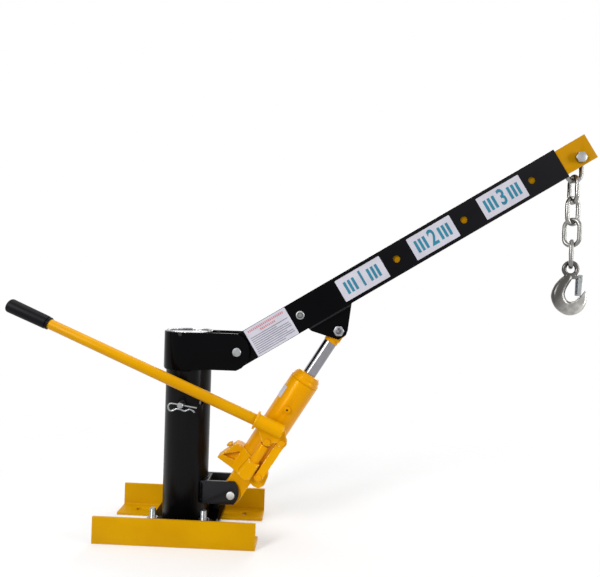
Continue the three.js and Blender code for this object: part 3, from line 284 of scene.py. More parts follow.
# Painted glints: the casting's light specks at sharp edges stand in for highlights, not wear
yellow_cast = paint(
    "yellow_cast",
    "eeaa00",
    "e09d00",
    "ffe98c",
    roughness=0.35,
    wear_and_glint_amount=0.9,
    coat=0.45,
    coat_ior=1.2,
    coat_roughness=0.12,
    tint=GOLD,
    edges=(0.51, 0.53),
    specks=(330.0, 0.56),
)
mustard = paint("mustard_satin", "d09b00", "c68f00", DULL_PRIMER, **satin)
black = paint("black_gloss", "040406", "070709", BARE_PRIMER)
black_mast = paint("black_mast", "050507", "08080a", BARE_PRIMER, coat_ior=1.2, coat_roughness=0.3)
black_boom = paint("black_boom", "040406", "070709", BARE_PRIMER, painted_sheen=boom_painted_sheen)
black_shine = paint(
    "black_shine", "060608", "0a0a0c", BARE_PRIMER, coat_ior=1.6, coat_roughness=0.05, specular=0.03
)
# A satin black for the clevis and the yoke welds, its colour painted lighter than the gloss black to stand in for
# their sheen
black_satin_painted_sheen = paint(
    "black_satin_painted_sheen",
    "1d1d20",
    "232327",
    "46464a",
    roughness=0.5,
    coat_ior=1.2,
    coat_roughness=0.35,
    specular=0.03,
)
zinc = metal("zinc_plate", "a3a6a7", "83878a", 0.3)
chain_zinc = metal("chain_plate", "93928f", "757371", 0.22, scale=9.0, bump=0.002)
chrome = metal("chrome_plate", "929195", "838287", 0.1, scale=30.0, bump=0.02)
steel = metal("bare_steel", "97999b", "7b7d80", 0.45)
bronze = metal("bronze", "a97c3f", "8d6432", 0.45)
grip_rubber = rubber("grip_rubber", "09090c", "0f0f13")
sticker_white = paper("sticker_white", "d3d1dc", "c9c7d3")
sticker_blue = paper("sticker_blue", "22809c", "1b728c")
sticker_red = paper("sticker_red", "cf8088", "c4747c")
sticker_ink = paper("sticker_ink", "8b8a98", "7b7a88")
weld = metal("weld_bead", "f0f0f2", "77777b", 0.3, bump=0.2)
pin_zinc = metal("pin_plate", "dcdfdd", "c3c7c6", 0.5, scale=50.0)
bolt_zinc = metal("bolt_plate", "a9abaa", "8f9291", 0.34, scale=50.0)
marked_zinc = metal("marked_plate", "8d8990", "3f3c43", 0.3, scale=190.0, bump=0.4)

slot_finish = {
    "yellow_paint": yellow,
    "mustard_paint": mustard,
    "black_paint": black,
    "zinc_plate": zinc,
    "chrome_plate": chrome,
    "bare_steel": steel,
    "bronze": bronze,
    "black_rubber": grip_rubber,
}
node_slot = {part["node"]: part["material_slot"] for part in frame["record"]["subparts"]}


def dress(obj, material):
    obj.data.materials.clear()
    obj.data.materials.append(material)


for node_name, node in frame["nodes"].items():
    dress(node, slot_finish[node_slot[node_name]])


# Mesh helpers

# Edges sharper than this, in degrees, are rounded off
EDGE_ANGLE = 40.0
EDGE_SEGMENTS = 2
# Edges sharper than these, in degrees, are shaded sharp: on most pieces, and on bars that bend
SHARP_ANGLE = 30.0
ROUND_ANGLE = 60.0
# Vertices nearer than this, in metres, are one
SAME_PLACE = 1e-6
# A turned profile's point nearer to the axis than this, in millimetres, lies on it
ON_AXIS = 1e-6
# Faces that meet at less than this, in degrees, are one
FLAT_ANGLE = 1.0
# How far each round of softening moves a vertex towards its neighbours, as a share
SOFTENING = 0.5


def finished(name, mesh, material, body, replaces=(), matrix=None, smooth=SHARP_ANGLE):
    """Turns a bmesh in local millimetres into an object that rides on a body."""
    bmesh.ops.recalc_face_normals(mesh, faces=mesh.faces)
    data = mesh_data(name, mesh)
    data.transform(Matrix.Scale(MM, 4) @ (matrix or Matrix.Identity(4)))
    placed(name, data, material, body, replaces, smooth)


def mesh_data(name, mesh):
    data = bpy.data.meshes.new(name)
    mesh.to_mesh(data)
    mesh.free()
    return data


def placed(name, data, material, body, replaces=(), smooth=SHARP_ANGLE):
    obj = bpy.data.objects.new(name, data)
    bpy.context.scene.collection.objects.link(obj)
    dress(obj, material)
    shade(obj, smooth)
    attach(obj, body)
    if replaces:
        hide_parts(*replaces)
    return obj


def shade(obj, angle):
    """Smooth faces, with sharp edges where faces meet at more than the angle."""
    data = obj.data
    all_smooth(data)
    mesh = bmesh.new()
    mesh.from_mesh(data)
    limit = math.radians(angle)
    for edge in mesh.edges:
        edge.smooth = len(edge.link_faces) == 2 and edge.calc_face_angle(0.0) < limit
    mesh.to_mesh(data)
    mesh.free()


def all_smooth(data):
    for polygon in data.polygons:
        polygon.use_smooth = True


def bevelled(obj, width):
    modifier = obj.modifiers.new("edge_round", "BEVEL")
    modifier.width = width * MM
    modifier.segments = EDGE_SEGMENTS
    modifier.limit_method = "ANGLE"
    modifier.angle_limit = math.radians(EDGE_ANGLE)
    modifier.harden_normals = False
    apply_modifiers(obj)
    shade(obj, SHARP_ANGLE)


def apply_modifiers(obj):
    graph = bpy.context.evaluated_depsgraph_get()
    data = bpy.data.meshes.new_from_object(obj.evaluated_get(graph))
    materials = list(obj.data.materials)
    obj.modifiers.clear()
    obj.data = data
    data.materials.clear()
    for material in materials:
        data.materials.append(material)


def refined(node_name, body, width, material=None):
    """A copy of a CAD solid with rounded edges, in place of it."""
    source = frame["nodes"][node_name]
    mesh = bmesh.new()
    mesh.from_mesh(source.data)
    bmesh.ops.remove_doubles(mesh, verts=mesh.verts, dist=SAME_PLACE)
    flat = math.radians(FLAT_ANGLE)
    bmesh.ops.dissolve_limit(mesh, angle_limit=flat, verts=mesh.verts, edges=mesh.edges)
    name = node_name + "_fine"
    slot = node_slot[node_name]
    finish = material or slot_finish[slot]
    obj = placed(name, mesh_data(name, mesh), finish, body, (node_name,))
    bevelled(obj, width)


def cast(node_name, body, voxel, rounds, material):
    """A copy of a CAD solid with the soft corners of a casting, in place of it."""
    data = frame["nodes"][node_name].data.copy()
    obj = placed(node_name + "_cast", data, material, body, (node_name,))
    softened(obj, voxel, rounds)


def softened(obj, voxel, rounds):
    """Joins what overlaps in an object and rounds its corners off."""
    remesh = obj.modifiers.new("remesh", "REMESH")
    remesh.mode = "VOXEL"
    remesh.voxel_size = voxel * MM
    soften = obj.modifiers.new("soften", "SMOOTH")
    soften.factor = SOFTENING
    soften.iterations = rounds
    apply_modifiers(obj)
    all_smooth(obj.data)


def turned(profile, sides=ROUND_SIDES, axis="Z"):
    """A turned solid. The profile holds (radius, height) pairs along the axis."""
    mesh = bmesh.new()
    rings = []
    for radius, height in profile:
        if radius <= ON_AXIS:
            rings.append([mesh.verts.new(along(axis, 0, 0, height))])
            continue
        ring = []
        for side in range(sides):
            turn = 2 * math.pi * side / sides
            ring.append(mesh.verts.new(along(axis, radius * math.cos(turn), radius * math.sin(turn), height)))
        rings.append(ring)
    for low, high in zip(rings, rings[1:]):
        join_rings(mesh, low, high)
    return mesh


def along(axis, a, b, height):
    if axis == "Z":
        return (a, b, height)
    if axis == "X":
        return (height, a, b)
    return (a, height, b)


def join_rings(mesh, low, high):
    """Faces between two rings of vertices, either of which may be a single vertex."""
    count = max(len(low), len(high))
    for side in range(count):
        after = (side + 1) % count
        if len(low) == 1:
            mesh.faces.new((low[0], high[side], high[after]))
        elif len(high) == 1:
            mesh.faces.new((low[side], high[0], low[after]))
        else:
            mesh.faces.new((low[side], low[after], high[after], high[side]))


def swept(points, radius, sides=12, closed=False, taper=None):
    """A round bar along points. Taper gives the radius for each share of the way."""
    mesh = bmesh.new()
    count = len(points)
    rings = []
    side_axis = None
    for index in range(count):
        before = points[(index - 1) % count] if closed or index else points[index]
        after = points[(index + 1) % count] if closed or index < count - 1 else points[index]
        tangent = (after - before).normalized()
        if side_axis is None:
            side_axis = tangent.orthogonal().normalized()
        side_axis = (side_axis - tangent * side_axis.dot(tangent)).normalized()
        other = tangent.cross(side_axis)
        r = radius if taper is None else taper(index / (count - 1))
        ring = []
        for side in range(sides):
            turn = 2 * math.pi * side / sides
            offset = side_axis * math.cos(turn) * r + other * math.sin(turn) * r
            ring.append(mesh.verts.new(points[index] + offset))
        rings.append(ring)
    pairs = list(zip(rings, rings[1:]))
    if closed:
        pairs.append((rings[-1], rings[0]))
    for low, high in pairs:
        join_rings(mesh, low, high)
    if not closed:
        mesh.faces.new(rings[0])
        mesh.faces.new(rings[-1])
    return mesh


def prism(outline, low, high, axis="Y"):
    """An outline of (a, b) pairs, extruded along an axis. The pairs lie along the other two axes."""
    mesh = bmesh.new()
    rings = [[mesh.verts.new(along(axis, a, b, height)) for a, b in outline] for height in (low, high)]
    join_rings(mesh, rings[0], rings[1])
    mesh.faces.new(rings[0])
    mesh.faces.new(rings[1])
    return mesh


def joined(meshes):
    """One bmesh of several, which it uses up."""
    whole = bmesh.new()
    for mesh in meshes:
        bmesh.ops.recalc_face_normals(mesh, faces=mesh.faces)
        data = mesh_data("temporary", mesh)
        whole.from_mesh(data)
        bpy.data.meshes.remove(data)
    return whole


def curved(points, steps):
    """A smooth run through points, with the same number of steps between each two."""
    result = []
    padded = [2 * points[0] - points[1], *points, 2 * points[-1] - points[-2]]
    for index in range(1, len(padded) - 2):
        p0, p1, p2, p3 = padded[index - 1 : index + 3]
        for step in range(steps):
            t = step / steps
            straight = 2 * p1 + (p2 - p0) * t
            bend = (2 * p0 - 5 * p1 + 4 * p2 - p3) * t * t
            twist = (3 * p1 - p0 - 3 * p2 + p3) * t * t * t
            result.append(0.5 * (straight + bend + twist))
    result.append(points[-1])
    return result


def resampled(points, count):
    """The same line with evenly spaced points."""
    lengths = [0.0]
    for a, b in zip(points, points[1:]):
        lengths.append(lengths[-1] + (b - a).length)
    result = []
    index = 0
    for step in range(count + 1):
        target = lengths[-1] * step / count
        while index < len(points) - 2 and lengths[index + 1] < target:
            index += 1
        span = lengths[index + 1] - lengths[index]
        share = (target - lengths[index]) / span if span else 0.0
        result.append(points[index].lerp(points[index + 1], min(1.0, share)))
    return result


def arc(radius, start, end, height, count=40):
    """Points round the Z axis, from one angle to another in degrees."""
    turns = [math.radians(start + (end - start) * i / count) for i in range(count + 1)]
    return [Vector((radius * math.cos(turn), radius * math.sin(turn), height)) for turn in turns]


# Weld beads: the ripples' pitch and depth, the spacing of points and the taper of an end
BEAD_PITCH = 2.6
BEAD_RIPPLE = 0.14
BEAD_SPACING = 1.1
BEAD_SPREAD = 0.12
BEAD_SIDES = 10
BEAD_SMOOTH = 80.0
BEAD_END = 0.45
BEAD_END_SLOPE = 8


def bead(name, points, radius, body, matrix, seed, closed=False, material=black):
    """A weld bead: a bar along points whose thickness ripples."""
    source = random.Random(seed)
    length = sum((b - a).length for a, b in zip(points, points[1:]))
    count = max(8, int(length / BEAD_SPACING))
    path = resampled(points + ([points[0]] if closed else []), count)
    if closed:
        path = path[:-1]
    spread = [source.uniform(1 - BEAD_SPREAD, 1 + BEAD_SPREAD) for _ in path]

    def thick(share):
        index = min(len(path) - 1, int(share * (len(path) - 1) + 0.5))
        wave = 1 - BEAD_RIPPLE + BEAD_RIPPLE * math.cos(2 * math.pi * share * length / BEAD_PITCH)
        end = 1.0 if closed else min(1.0, BEAD_END + BEAD_END_SLOPE * min(share, 1 - share))
        return radius * wave * spread[index] * end

    mesh = swept(path, radius, BEAD_SIDES, closed, thick)
    finished(name, mesh, material, body, matrix=matrix, smooth=BEAD_SMOOTH)


# Base

ANGLE_WALL = 85.0
ANGLE_THICKNESS = 5.0
ROOT_RADIUS = 4.5
ROOT_STEPS = 6
ROOT_HALF_LENGTH = 152.3
STUD_RADIUS = 5.95
STUD_FOOT = 0.5
STUD_TOP = 57.4
STUD_SIDES = 36
STUD_SMOOTH = 20.0
THREAD_PITCH = 1.6
THREAD_DEPTH = 0.55
THREAD_FLAT = 0.15
STUD_COUNT = 4
# The back right stud and its nut are black
BLACK_STUD = 4


def angle_root(side):
    """The round inner corner of one floor angle, as (Y, Z) pairs."""
    wall = side * ANGLE_WALL
    outline = [(wall, ANGLE_THICKNESS), (wall - side * ROOT_RADIUS, ANGLE_THICKNESS)]
    for step in range(1, ROOT_STEPS):
        turn = math.radians(90 * step / ROOT_STEPS)
        away = ROOT_RADIUS * (1 - math.sin(turn))
        rise = ROOT_RADIUS * (1 - math.cos(turn))
        outline.append((wall - side * away, ANGLE_THICKNESS + rise))
    outline.append((wall, ANGLE_THICKNESS + ROOT_RADIUS))
    return outline


def threads(radius, low, high):
    """The profile of a threaded rod, as (radius, height) pairs."""
    core = radius - THREAD_DEPTH
    points = [(0, low), (core, low)]
    height = low
    while height + THREAD_PITCH < high - THREAD_DEPTH:
        points += [(core, height + THREAD_FLAT), (radius, height + THREAD_PITCH / 2)]
        height += THREAD_PITCH
    points += [(core, height), (core, high - THREAD_DEPTH), (core - THREAD_DEPTH, high), (0, high)]
    return points


refined("front_angle", "base", 0.9)
refined("back_angle", "base", 0.9)
refined("base_plate", "base", 0.8)
for side, angle_name in ((-1, "front"), (1, "back")):
    root = prism(angle_root(side), -ROOT_HALF_LENGTH, ROOT_HALF_LENGTH, "X")
    finished(angle_name + "_angle_root", root, mustard, "base", matrix=BASE)
for index in range(1, STUD_COUNT + 1):
    stud_name = f"base_stud_{index}"
    low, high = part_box(stud_name)
    centre = (low + high) / 2 / MM
    place = Matrix.Translation((centre.x, centre.y, 0))
    stud = turned(threads(STUD_RADIUS, STUD_FOOT, STUD_TOP), STUD_SIDES)
    finish = black if index == BLACK_STUD else zinc
    finished(stud_name + "_fine", stud, finish, "base", (stud_name,), place, STUD_SMOOTH)
    refined(f"base_nut_{index}", "base", 0.35, finish)


# Mast

CAP_WELD_RADIUS = 43.6
CAP_WELD_HEIGHT = 394.4
STRAP_WELD_RADIUS = 46.0
STRAP_WELD_HEIGHT = 321.2
CLEVIS_HALF = 27.0
CLEVIS_WELD_Y = 28.0
CLEVIS_WELD_GAP = 1.2
CLEVIS_WELD_HEIGHTS = (61, 75, 88, 100)
CLEVIS_TOP_WELD_RADIUS = 45.6
CLEVIS_TOP_WELD_HEIGHT = 103.4
# Half thicknesses of the welds
FINE_WELD = 2.2
STRAP_WELD = 2.4
CLEVIS_WELD = 3.4

refined("mast_tube", "mast", 0.5, black_mast)
refined("mast_cap", "mast", 0.8, black_shine)
refined("head_bracket", "mast", 1.5)
refined("foot_clevis", "mast", 1.2, black_satin_painted_sheen)
refined("boom_pivot_pin", "mast", 0.3)
refined("jack_foot_pin", "mast", 0.6, pin_zinc)
refined("lock_pin", "mast", 0.3)


def mast_bead(name, points, radius, seed, closed=False, material=black):
    bead(name, points, radius, "mast", BASE, seed, closed, material)


# The full circle leaves out its last point, which is also its first
cap_ring = arc(CAP_WELD_RADIUS, 0, 360, CAP_WELD_HEIGHT, 90)[:-1]
mast_bead("cap_weld", cap_ring, FINE_WELD, 3, closed=True, material=weld)
mast_bead("strap_weld_front", arc(STRAP_WELD_RADIUS, -168, -72, STRAP_WELD_HEIGHT), STRAP_WELD, 5)
mast_bead("strap_weld_back", arc(STRAP_WELD_RADIUS, 72, 168, STRAP_WELD_HEIGHT), STRAP_WELD, 6)
clevis_foot = math.sqrt(MAST_RADIUS**2 - CLEVIS_HALF**2) + CLEVIS_WELD_GAP
for side in (-1, 1):
    upright = [Vector((clevis_foot, side * CLEVIS_WELD_Y, z)) for z in CLEVIS_WELD_HEIGHTS]
    mast_bead(f"clevis_weld_{side + 2}", upright, CLEVIS_WELD, 8 + side)
clevis_top = arc(CLEVIS_TOP_WELD_RADIUS, -34, 34, CLEVIS_TOP_WELD_HEIGHT, 24)
mast_bead("clevis_weld_top", clevis_top, FINE_WELD, 11)

CLIP_HALF = 29.0
CLIP_Y = -58.0
CLIP_WIRE = 1.75
CLIP_STEPS = 8
CLIP_SIDES = 14
LOCK_PIN_HEIGHT = 257.0
# The spring clip's route from its straight leg round the loop to its wavy leg, as shares of
# its half length along X and Z
clip_shares = [
    (1.05, -0.1575),
    (0.5, -0.075),
    (0, 0),
    (-0.5, 0.075),
    (-0.72, 0.06),
    (-0.84, -0.1),
    (-0.8, -0.31),
    (-0.62, -0.41),
    (-0.45, -0.35),
    (-0.28, -0.27),
    (0, -0.295),
    (0.24, -0.39),
    (0.42, -0.33),
    (0.58, -0.27),
    (0.76, -0.33),
    (0.92, -0.46),
]
clip_route = [Vector((a * CLIP_HALF, CLIP_Y, LOCK_PIN_HEIGHT + b * CLIP_HALF)) for a, b in clip_shares]
clip = swept(curved(clip_route, CLIP_STEPS), CLIP_WIRE, CLIP_SIDES)
finished("spring_clip_fine", clip, zinc, "mast", ("spring_clip",), BASE, ROUND_ANGLE)


# Boom

YOKE_WELD = 3.3
YOKE_WELD_Y = 26.6
YOKE_WELD_DROP = 1.2
YOKE_WELD_RUN = (146, 170, 200, 238)
YOKE_BOLT_X = 191.4
YOKE_BOLT_Z = -64.5
# The disc on the yoke bolt's head: its front, its corner and its back from the head's front face
BOLT_DISC_RADIUS = 6.2
BOLT_DISC_CHAMFER = 0.8
BOLT_DISC_FRONT = -0.5
BOLT_DISC_CORNER = -0.1
BOLT_DISC_BACK = 0.3
# The face of the boom's lock pin, with distances from the boom's side
BOOM_PIN_X = 142.3
PIN_RING_INNER = 4.2
PIN_RING_OUTER = 5.4
PIN_RING_BACK = 1.8
PIN_RING_FRONT = 2.2
PIN_CENTRE_RADIUS = 4.1
PIN_CENTRE_FRONT = 2.35

refined("outer_boom", "boom", 1.1, black_boom)
refined("jack_yoke", "boom", 0.8)
refined("yoke_bolt", "boom", 0.8)
refined("yoke_nut", "boom", 0.4)
refined("boom_lock_pin", "boom", 0.4)
for side in (-1, 1):
    run = [Vector((x, side * YOKE_WELD_Y, -BOOM_HALF - YOKE_WELD_DROP)) for x in YOKE_WELD_RUN]
    name = f"yoke_weld_{side + 2}"
    bead(name, run, YOKE_WELD, "boom", BOOM, 21 + side, material=black_satin_painted_sheen)

bolt_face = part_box("yoke_bolt")[0].y / MM
disc_profile = [
    (0, bolt_face + BOLT_DISC_FRONT),
    (BOLT_DISC_RADIUS - BOLT_DISC_CHAMFER, bolt_face + BOLT_DISC_FRONT),
    (BOLT_DISC_RADIUS, bolt_face + BOLT_DISC_CORNER),
    (BOLT_DISC_RADIUS, bolt_face + BOLT_DISC_BACK),
    (0, bolt_face + BOLT_DISC_BACK),
]
place = BOOM @ Matrix.Translation((YOKE_BOLT_X, 0, YOKE_BOLT_Z))
disc = turned(disc_profile, PIN_SIDES, "Y")
finished("yoke_bolt_end", disc, marked_zinc, "boom", matrix=place)

# The pin's face is a dark ring round a bright centre
place = BOOM @ Matrix.Translation((BOOM_PIN_X, 0, 0))
ring_back = -BOOM_HALF - PIN_RING_BACK
ring_front = -BOOM_HALF - PIN_RING_FRONT
ring_profile = [
    (PIN_RING_INNER, ring_front),
    (PIN_RING_OUTER, ring_front),
    (PIN_RING_OUTER, ring_back),
    (PIN_RING_INNER, ring_back),
    (PIN_RING_INNER, ring_front),
]
ring = turned(ring_profile, PIN_SIDES, "Y")
finished("boom_lock_pin_ring", ring, black, "boom", matrix=place)
centre_front = -BOOM_HALF - PIN_CENTRE_FRONT
centre_profile = [
    (0, centre_front),
    (PIN_CENTRE_RADIUS, centre_front),
    (PIN_CENTRE_RADIUS, ring_back),
    (0, ring_back),
]
centre = turned(centre_profile, PIN_SIDES, "Y")
finished("boom_lock_pin_centre", centre, chain_zinc, "boom", matrix=place)


# Stickers on the boom

CORNER_STEPS = 4
# The numerals' letter size and extra boldness in shares of their height, and their narrowing
NUMERAL_SIZE_SHARE = 1.42
NUMERAL_BOLD_SHARE = 0.03
NUMERAL_WIDTH_SHARE = 0.72
NUMERAL_STEPS = 6


def panel(name, x0, x1, z0, z1, layer, material, radius=0.0):
    """A thin flat patch on the boom's front face. Layer 1 lies on layer 0."""
    outline = []
    if radius:
        corners = (
            (x1 - radius, z0 + radius, -90),
            (x1 - radius, z1 - radius, 0),
            (x0 + radius, z1 - radius, 90),
            (x0 + radius, z0 + radius, 180),
        )
        for cx, cz, start in corners:
            for step in range(CORNER_STEPS + 1):
                turn = math.radians(start + 90 * step / CORNER_STEPS)
                outline.append((cx + radius * math.cos(turn), cz + radius * math.sin(turn)))
    else:
        outline = [(x0, z0), (x1, z0), (x1, z1), (x0, z1)]
    back = -BOOM_HALF - STICKER_LIFT - layer * STICKER_THICKNESS
    mesh = prism(outline, back - STICKER_THICKNESS, back)
    finished(name, mesh, material, "boom", matrix=BOOM)


def numeral(name, text, x, z, height, material):
    """A plain numeral lying on the boom's front face, as a mesh."""
    curve = bpy.data.curves.new(name, "FONT")
    curve.body = text
    curve.size = height * NUMERAL_SIZE_SHARE * MM
    curve.offset = NUMERAL_BOLD_SHARE * height * MM
    curve.extrude = STICKER_THICKNESS / 2 * MM
    curve.align_x = "CENTER"
    curve.align_y = "CENTER"
    curve.resolution_u = NUMERAL_STEPS
    temporary = bpy.data.objects.new(name + "_curve", curve)
    bpy.context.scene.collection.objects.link(temporary)
    graph = bpy.context.evaluated_depsgraph_get()
    data = bpy.data.meshes.new_from_object(temporary.evaluated_get(graph))
    bpy.data.objects.remove(temporary)
    data.name = name
    face = -BOOM_HALF - STICKER_LIFT - 1.5 * STICKER_THICKNESS
    stand = Matrix.Translation((x, face, z)) @ Matrix.Rotation(math.radians(90), 4, "X")
    narrow = Matrix.Diagonal((NUMERAL_WIDTH_SHARE, 1.0, 1.0, 1.0))
    data.transform(Matrix.Scale(MM, 4) @ BOOM @ stand @ Matrix.Scale(1 / MM, 4) @ narrow)
    placed(name, data, material, "boom")


# Each load label: its span along the boom, and the same bars and numeral size on all
LABEL_SPANS = ((232.5, 331.0), (391.5, 486.0), (545.0, 637.5))
LABEL_HALF_HEIGHT = 23.0
LABEL_CORNER = 1.5
NUMERAL_HEIGHT = 31.0
BAR_OFFSETS = (-34.5, -25.5, -16.5, 16.5, 25.5, 34.5)
BAR_HALF_WIDTH = 2.7
BAR_HALF_HEIGHT = 12.5

for number, (start, end) in enumerate(LABEL_SPANS, 1):
    name = f"label_{number}"
    panel(name, start, end, -LABEL_HALF_HEIGHT, LABEL_HALF_HEIGHT, 0, sticker_white, LABEL_CORNER)
    middle = (start + end) / 2
    numeral(name + "_numeral", str(number), middle, 0, NUMERAL_HEIGHT, sticker_blue)
    for bar, offset in enumerate(BAR_OFFSETS, 1):
        left = middle + offset - BAR_HALF_WIDTH
        right = middle + offset + BAR_HALF_WIDTH
        panel(f"{name}_bar_{bar}", left, right, -BAR_HALF_HEIGHT, BAR_HALF_HEIGHT, 1, sticker_blue)

# The notice: its span, two rows of dashes, and ruled lines that end at different places
NOTICE_SPAN = (31.5, 123.4)
NOTICE_HALF_HEIGHT = 29.2
NOTICE_CORNER = 0.8
# Rows of (height on the boom, first dash, dashes, dash height)
DASH_ROWS = ((22.6, 38.0, 21, 4.4), (15.6, 62.0, 9, 4.0))
DASH_PITCH = 3.8
DASH_WIDTH = 2.1
RULE_START = 36.0
RULE_ENDS = (119.0, 92.0, 117.0, 119.0, 119.0, 106.0, 118.0, 119.0, 97.0)
RULE_TOP = 8.6
RULE_PITCH = 4.1
RULE_HALF_HEIGHT = 0.7

panel("notice", *NOTICE_SPAN, -NOTICE_HALF_HEIGHT, NOTICE_HALF_HEIGHT, 0, sticker_white, NOTICE_CORNER)
for row, (z, first, count, tall) in enumerate(DASH_ROWS, 1):
    for dash in range(count):
        x = first + dash * DASH_PITCH
        panel(f"notice_dash_{row}_{dash + 1}", x, x + DASH_WIDTH, z - tall / 2, z + tall / 2, 1, sticker_red)
for row, end in enumerate(RULE_ENDS):
    z = RULE_TOP - row * RULE_PITCH
    low = z - RULE_HALF_HEIGHT
    high = z + RULE_HALF_HEIGHT
    panel(f"notice_rule_{row + 1}", RULE_START, end, low, high, 1, sticker_ink)


# Boom end and chain

CHAIN_WIRE = 4.25
CHAIN_INNER_LENGTH = 42.4
CHAIN_INNER_WIDTH = 20.0
LINK_COUNT = 5
LINK_SIDES = 20
LINK_ARC_STEPS = 16
LINK_SEAM_POINT = 18
LINK_SEAM_SWELL = 0.09
LINK_SEAM_SPREAD = 0.8

refined("inner_boom", "extension", 1.0, mustard_tip)
refined("tip_bolt", "extension", 0.5, bolt_zinc)
refined("tip_nut", "extension", 0.4)


def link_path():
    """The middle of a link's wire, round its two ends and along its two sides."""
    radius = CHAIN_INNER_WIDTH / 2 + CHAIN_WIRE
    straight = CHAIN_INNER_LENGTH / 2 + CHAIN_WIRE - radius
    points = []
    for start, centre in ((0, straight), (180, -straight)):
        for step in range(LINK_ARC_STEPS + 1):
            turn = math.radians(start + 180 * step / LINK_ARC_STEPS)
            points.append(Vector((radius * math.cos(turn), 0, centre + radius * math.sin(turn))))
        x = -radius if start == 0 else radius
        for share in (0.25, 0.5, 0.75):
            points.append(Vector((x, 0, centre * (1 - 2 * share))))
    return points


def chain_link(index):
    name = f"chain_link_{index}"
    low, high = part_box(name)
    centre = (low + high) / 2 / MM
    next_joint = "hook_swing" if index == LINK_COUNT else f"link_{index + 1}_swing"
    width = Vector(joints[next_joint]["axis"])
    turn = math.atan2(width.y, width.x)
    place = Matrix.Translation(centre) @ Matrix.Rotation(turn, 4, "Z")
    path = link_path()

    def thickness(share):
        distance = abs(share * (len(path) - 1) - LINK_SEAM_POINT)
        return CHAIN_WIRE * (1.0 + LINK_SEAM_SWELL * math.exp(-((distance / LINK_SEAM_SPREAD) ** 2)))

    mesh = swept(path, CHAIN_WIRE, LINK_SIDES, True, thickness)
    finished(name + "_fine", mesh, chain_zinc, f"link_{index}", (name,), place, ROUND_ANGLE)


for index in range(1, LINK_COUNT + 1):
    chain_link(index)


# Hook

EYE_RADIUS = 12.6
EYE_WIRE = 4.5
EYE_STEPS = 48
EYE_SIDES = 20
HOOK_STEPS = 6
HOOK_SIDES = 36
# A station is round at a power of 1, and squarer below it: on the bowl's outside and its inside
OUTER_POWER = 0.78
INNER_POWER = 0.95
ARM_HALF = 4.7
LUG_RADIUS = 4.4
LUG_SIDES = 32
LUG_X = 17.5
LUG_Z = -15.5
# The arm from the top of the bowl to the latch's lug, as (X, Z) pairs
ARM = [(0, -20.0), (LUG_X, -19.9), (LUG_X, -13.2), (4, -13.0)]
HOOK_VOXEL = 0.8
HOOK_ROUNDS = 14

hook_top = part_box("hook")[1].z / MM
hook_centre = Vector((joint_point("hook_swing").x, 0, hook_top - EYE_RADIUS - EYE_WIRE))
HOOK = Matrix.Translation(hook_centre)
# Stations down the hook: middle x, drop, half width and half thickness
hook_stations = [
    (-0.7, 12.7, 6.0, 4.6),
    (-5.0, 18.2, 8.2, 6.5),
    (-12.8, 27.3, 10.3, 8.0),
    (-19.5, 38.2, 11.7, 9.1),
    (-22.7, 51.9, 12.8, 9.5),
    (-17.8, 66.4, 13.1, 9.5),
    (-7.5, 75.5, 13.3, 9.5),
    (2.8, 77.4, 13.7, 9.5),
    (14.9, 71.9, 12.8, 8.7),
    (23.1, 61.0, 9.2, 7.2),
    (27.3, 50.1, 4.6, 4.9),
    (29.5, 41.4, 1.2, 1.9),
]


def hook_bowl():
    """The hook's body, from under its ring round the bowl to its tip."""
    centres = curved([Vector((x, 0, -drop)) for x, drop, _, _ in hook_stations], HOOK_STEPS)
    sizes = curved([Vector((w, t, 0)) for _, _, w, t in hook_stations], HOOK_STEPS)
    mesh = bmesh.new()
    rings = []
    for index, (centre, size) in enumerate(zip(centres, sizes)):
        before = centres[max(0, index - 1)]
        after = centres[min(len(centres) - 1, index + 1)]
        tangent = (after - before).normalized()
        # Across points out of the bowl
        across = Vector((0, 1, 0)).cross(tangent).normalized()
        ring = []
        for side in range(HOOK_SIDES):
            turn = 2 * math.pi * side / HOOK_SIDES
            c = math.cos(turn)
            s = math.sin(turn)
            power = OUTER_POWER if c > 0 else INNER_POWER
            a = math.copysign(abs(c) ** power, c)
            b = math.copysign(abs(s) ** power, s)
            ring.append(mesh.verts.new(centre + across * a * size.x + Vector((0, b * size.y, 0))))
        rings.append(ring)
    for low, high in zip(rings, rings[1:]):
        join_rings(mesh, low, high)
    mesh.faces.new(rings[0])
    mesh.faces.new(rings[-1])
    return mesh


def hook_eye():
    turns = [2 * math.pi * i / EYE_STEPS for i in range(EYE_STEPS)]
    path = [Vector((EYE_RADIUS * math.cos(turn), 0, EYE_RADIUS * math.sin(turn))) for turn in turns]
    return swept(path, EYE_WIRE, EYE_SIDES, True)


def hook_lug():
    """The round lug that holds the latch's pin."""
    profile = [(0, -ARM_HALF), (LUG_RADIUS, -ARM_HALF), (LUG_RADIUS, ARM_HALF), (0, ARM_HALF)]
    lug = turned(profile, LUG_SIDES, "Y")
    bmesh.ops.translate(lug, verts=lug.verts, vec=(LUG_X, 0, LUG_Z))
    return lug


def forged_hook():
    forged = joined([hook_bowl(), hook_eye(), hook_lug(), prism(ARM, -ARM_HALF, ARM_HALF)])
    data = mesh_data("hook_forged", forged)
    data.transform(Matrix.Scale(MM, 4) @ HOOK)
    # Painted sheen: the plating is painted dull near the ring and brighter towards the bowl's lower
    # right, standing in for its reflections
    sheen_direction = (0.85, 0.0, -0.5)
    painted_sheen_plating = graded("hook_plate_painted_sheen", "565452", "c9c7c2", 0.24, hook_centre, sheen_direction, 4.0, 52.0)
    hook = placed("hook_forged", data, painted_sheen_plating, "hook", ("hook",))
    softened(hook, HOOK_VOXEL, HOOK_ROUNDS)


forged_hook()
refined("hook_latch", "latch", 0.3)
refined("latch_pin", "hook", 0.2)


# Jack

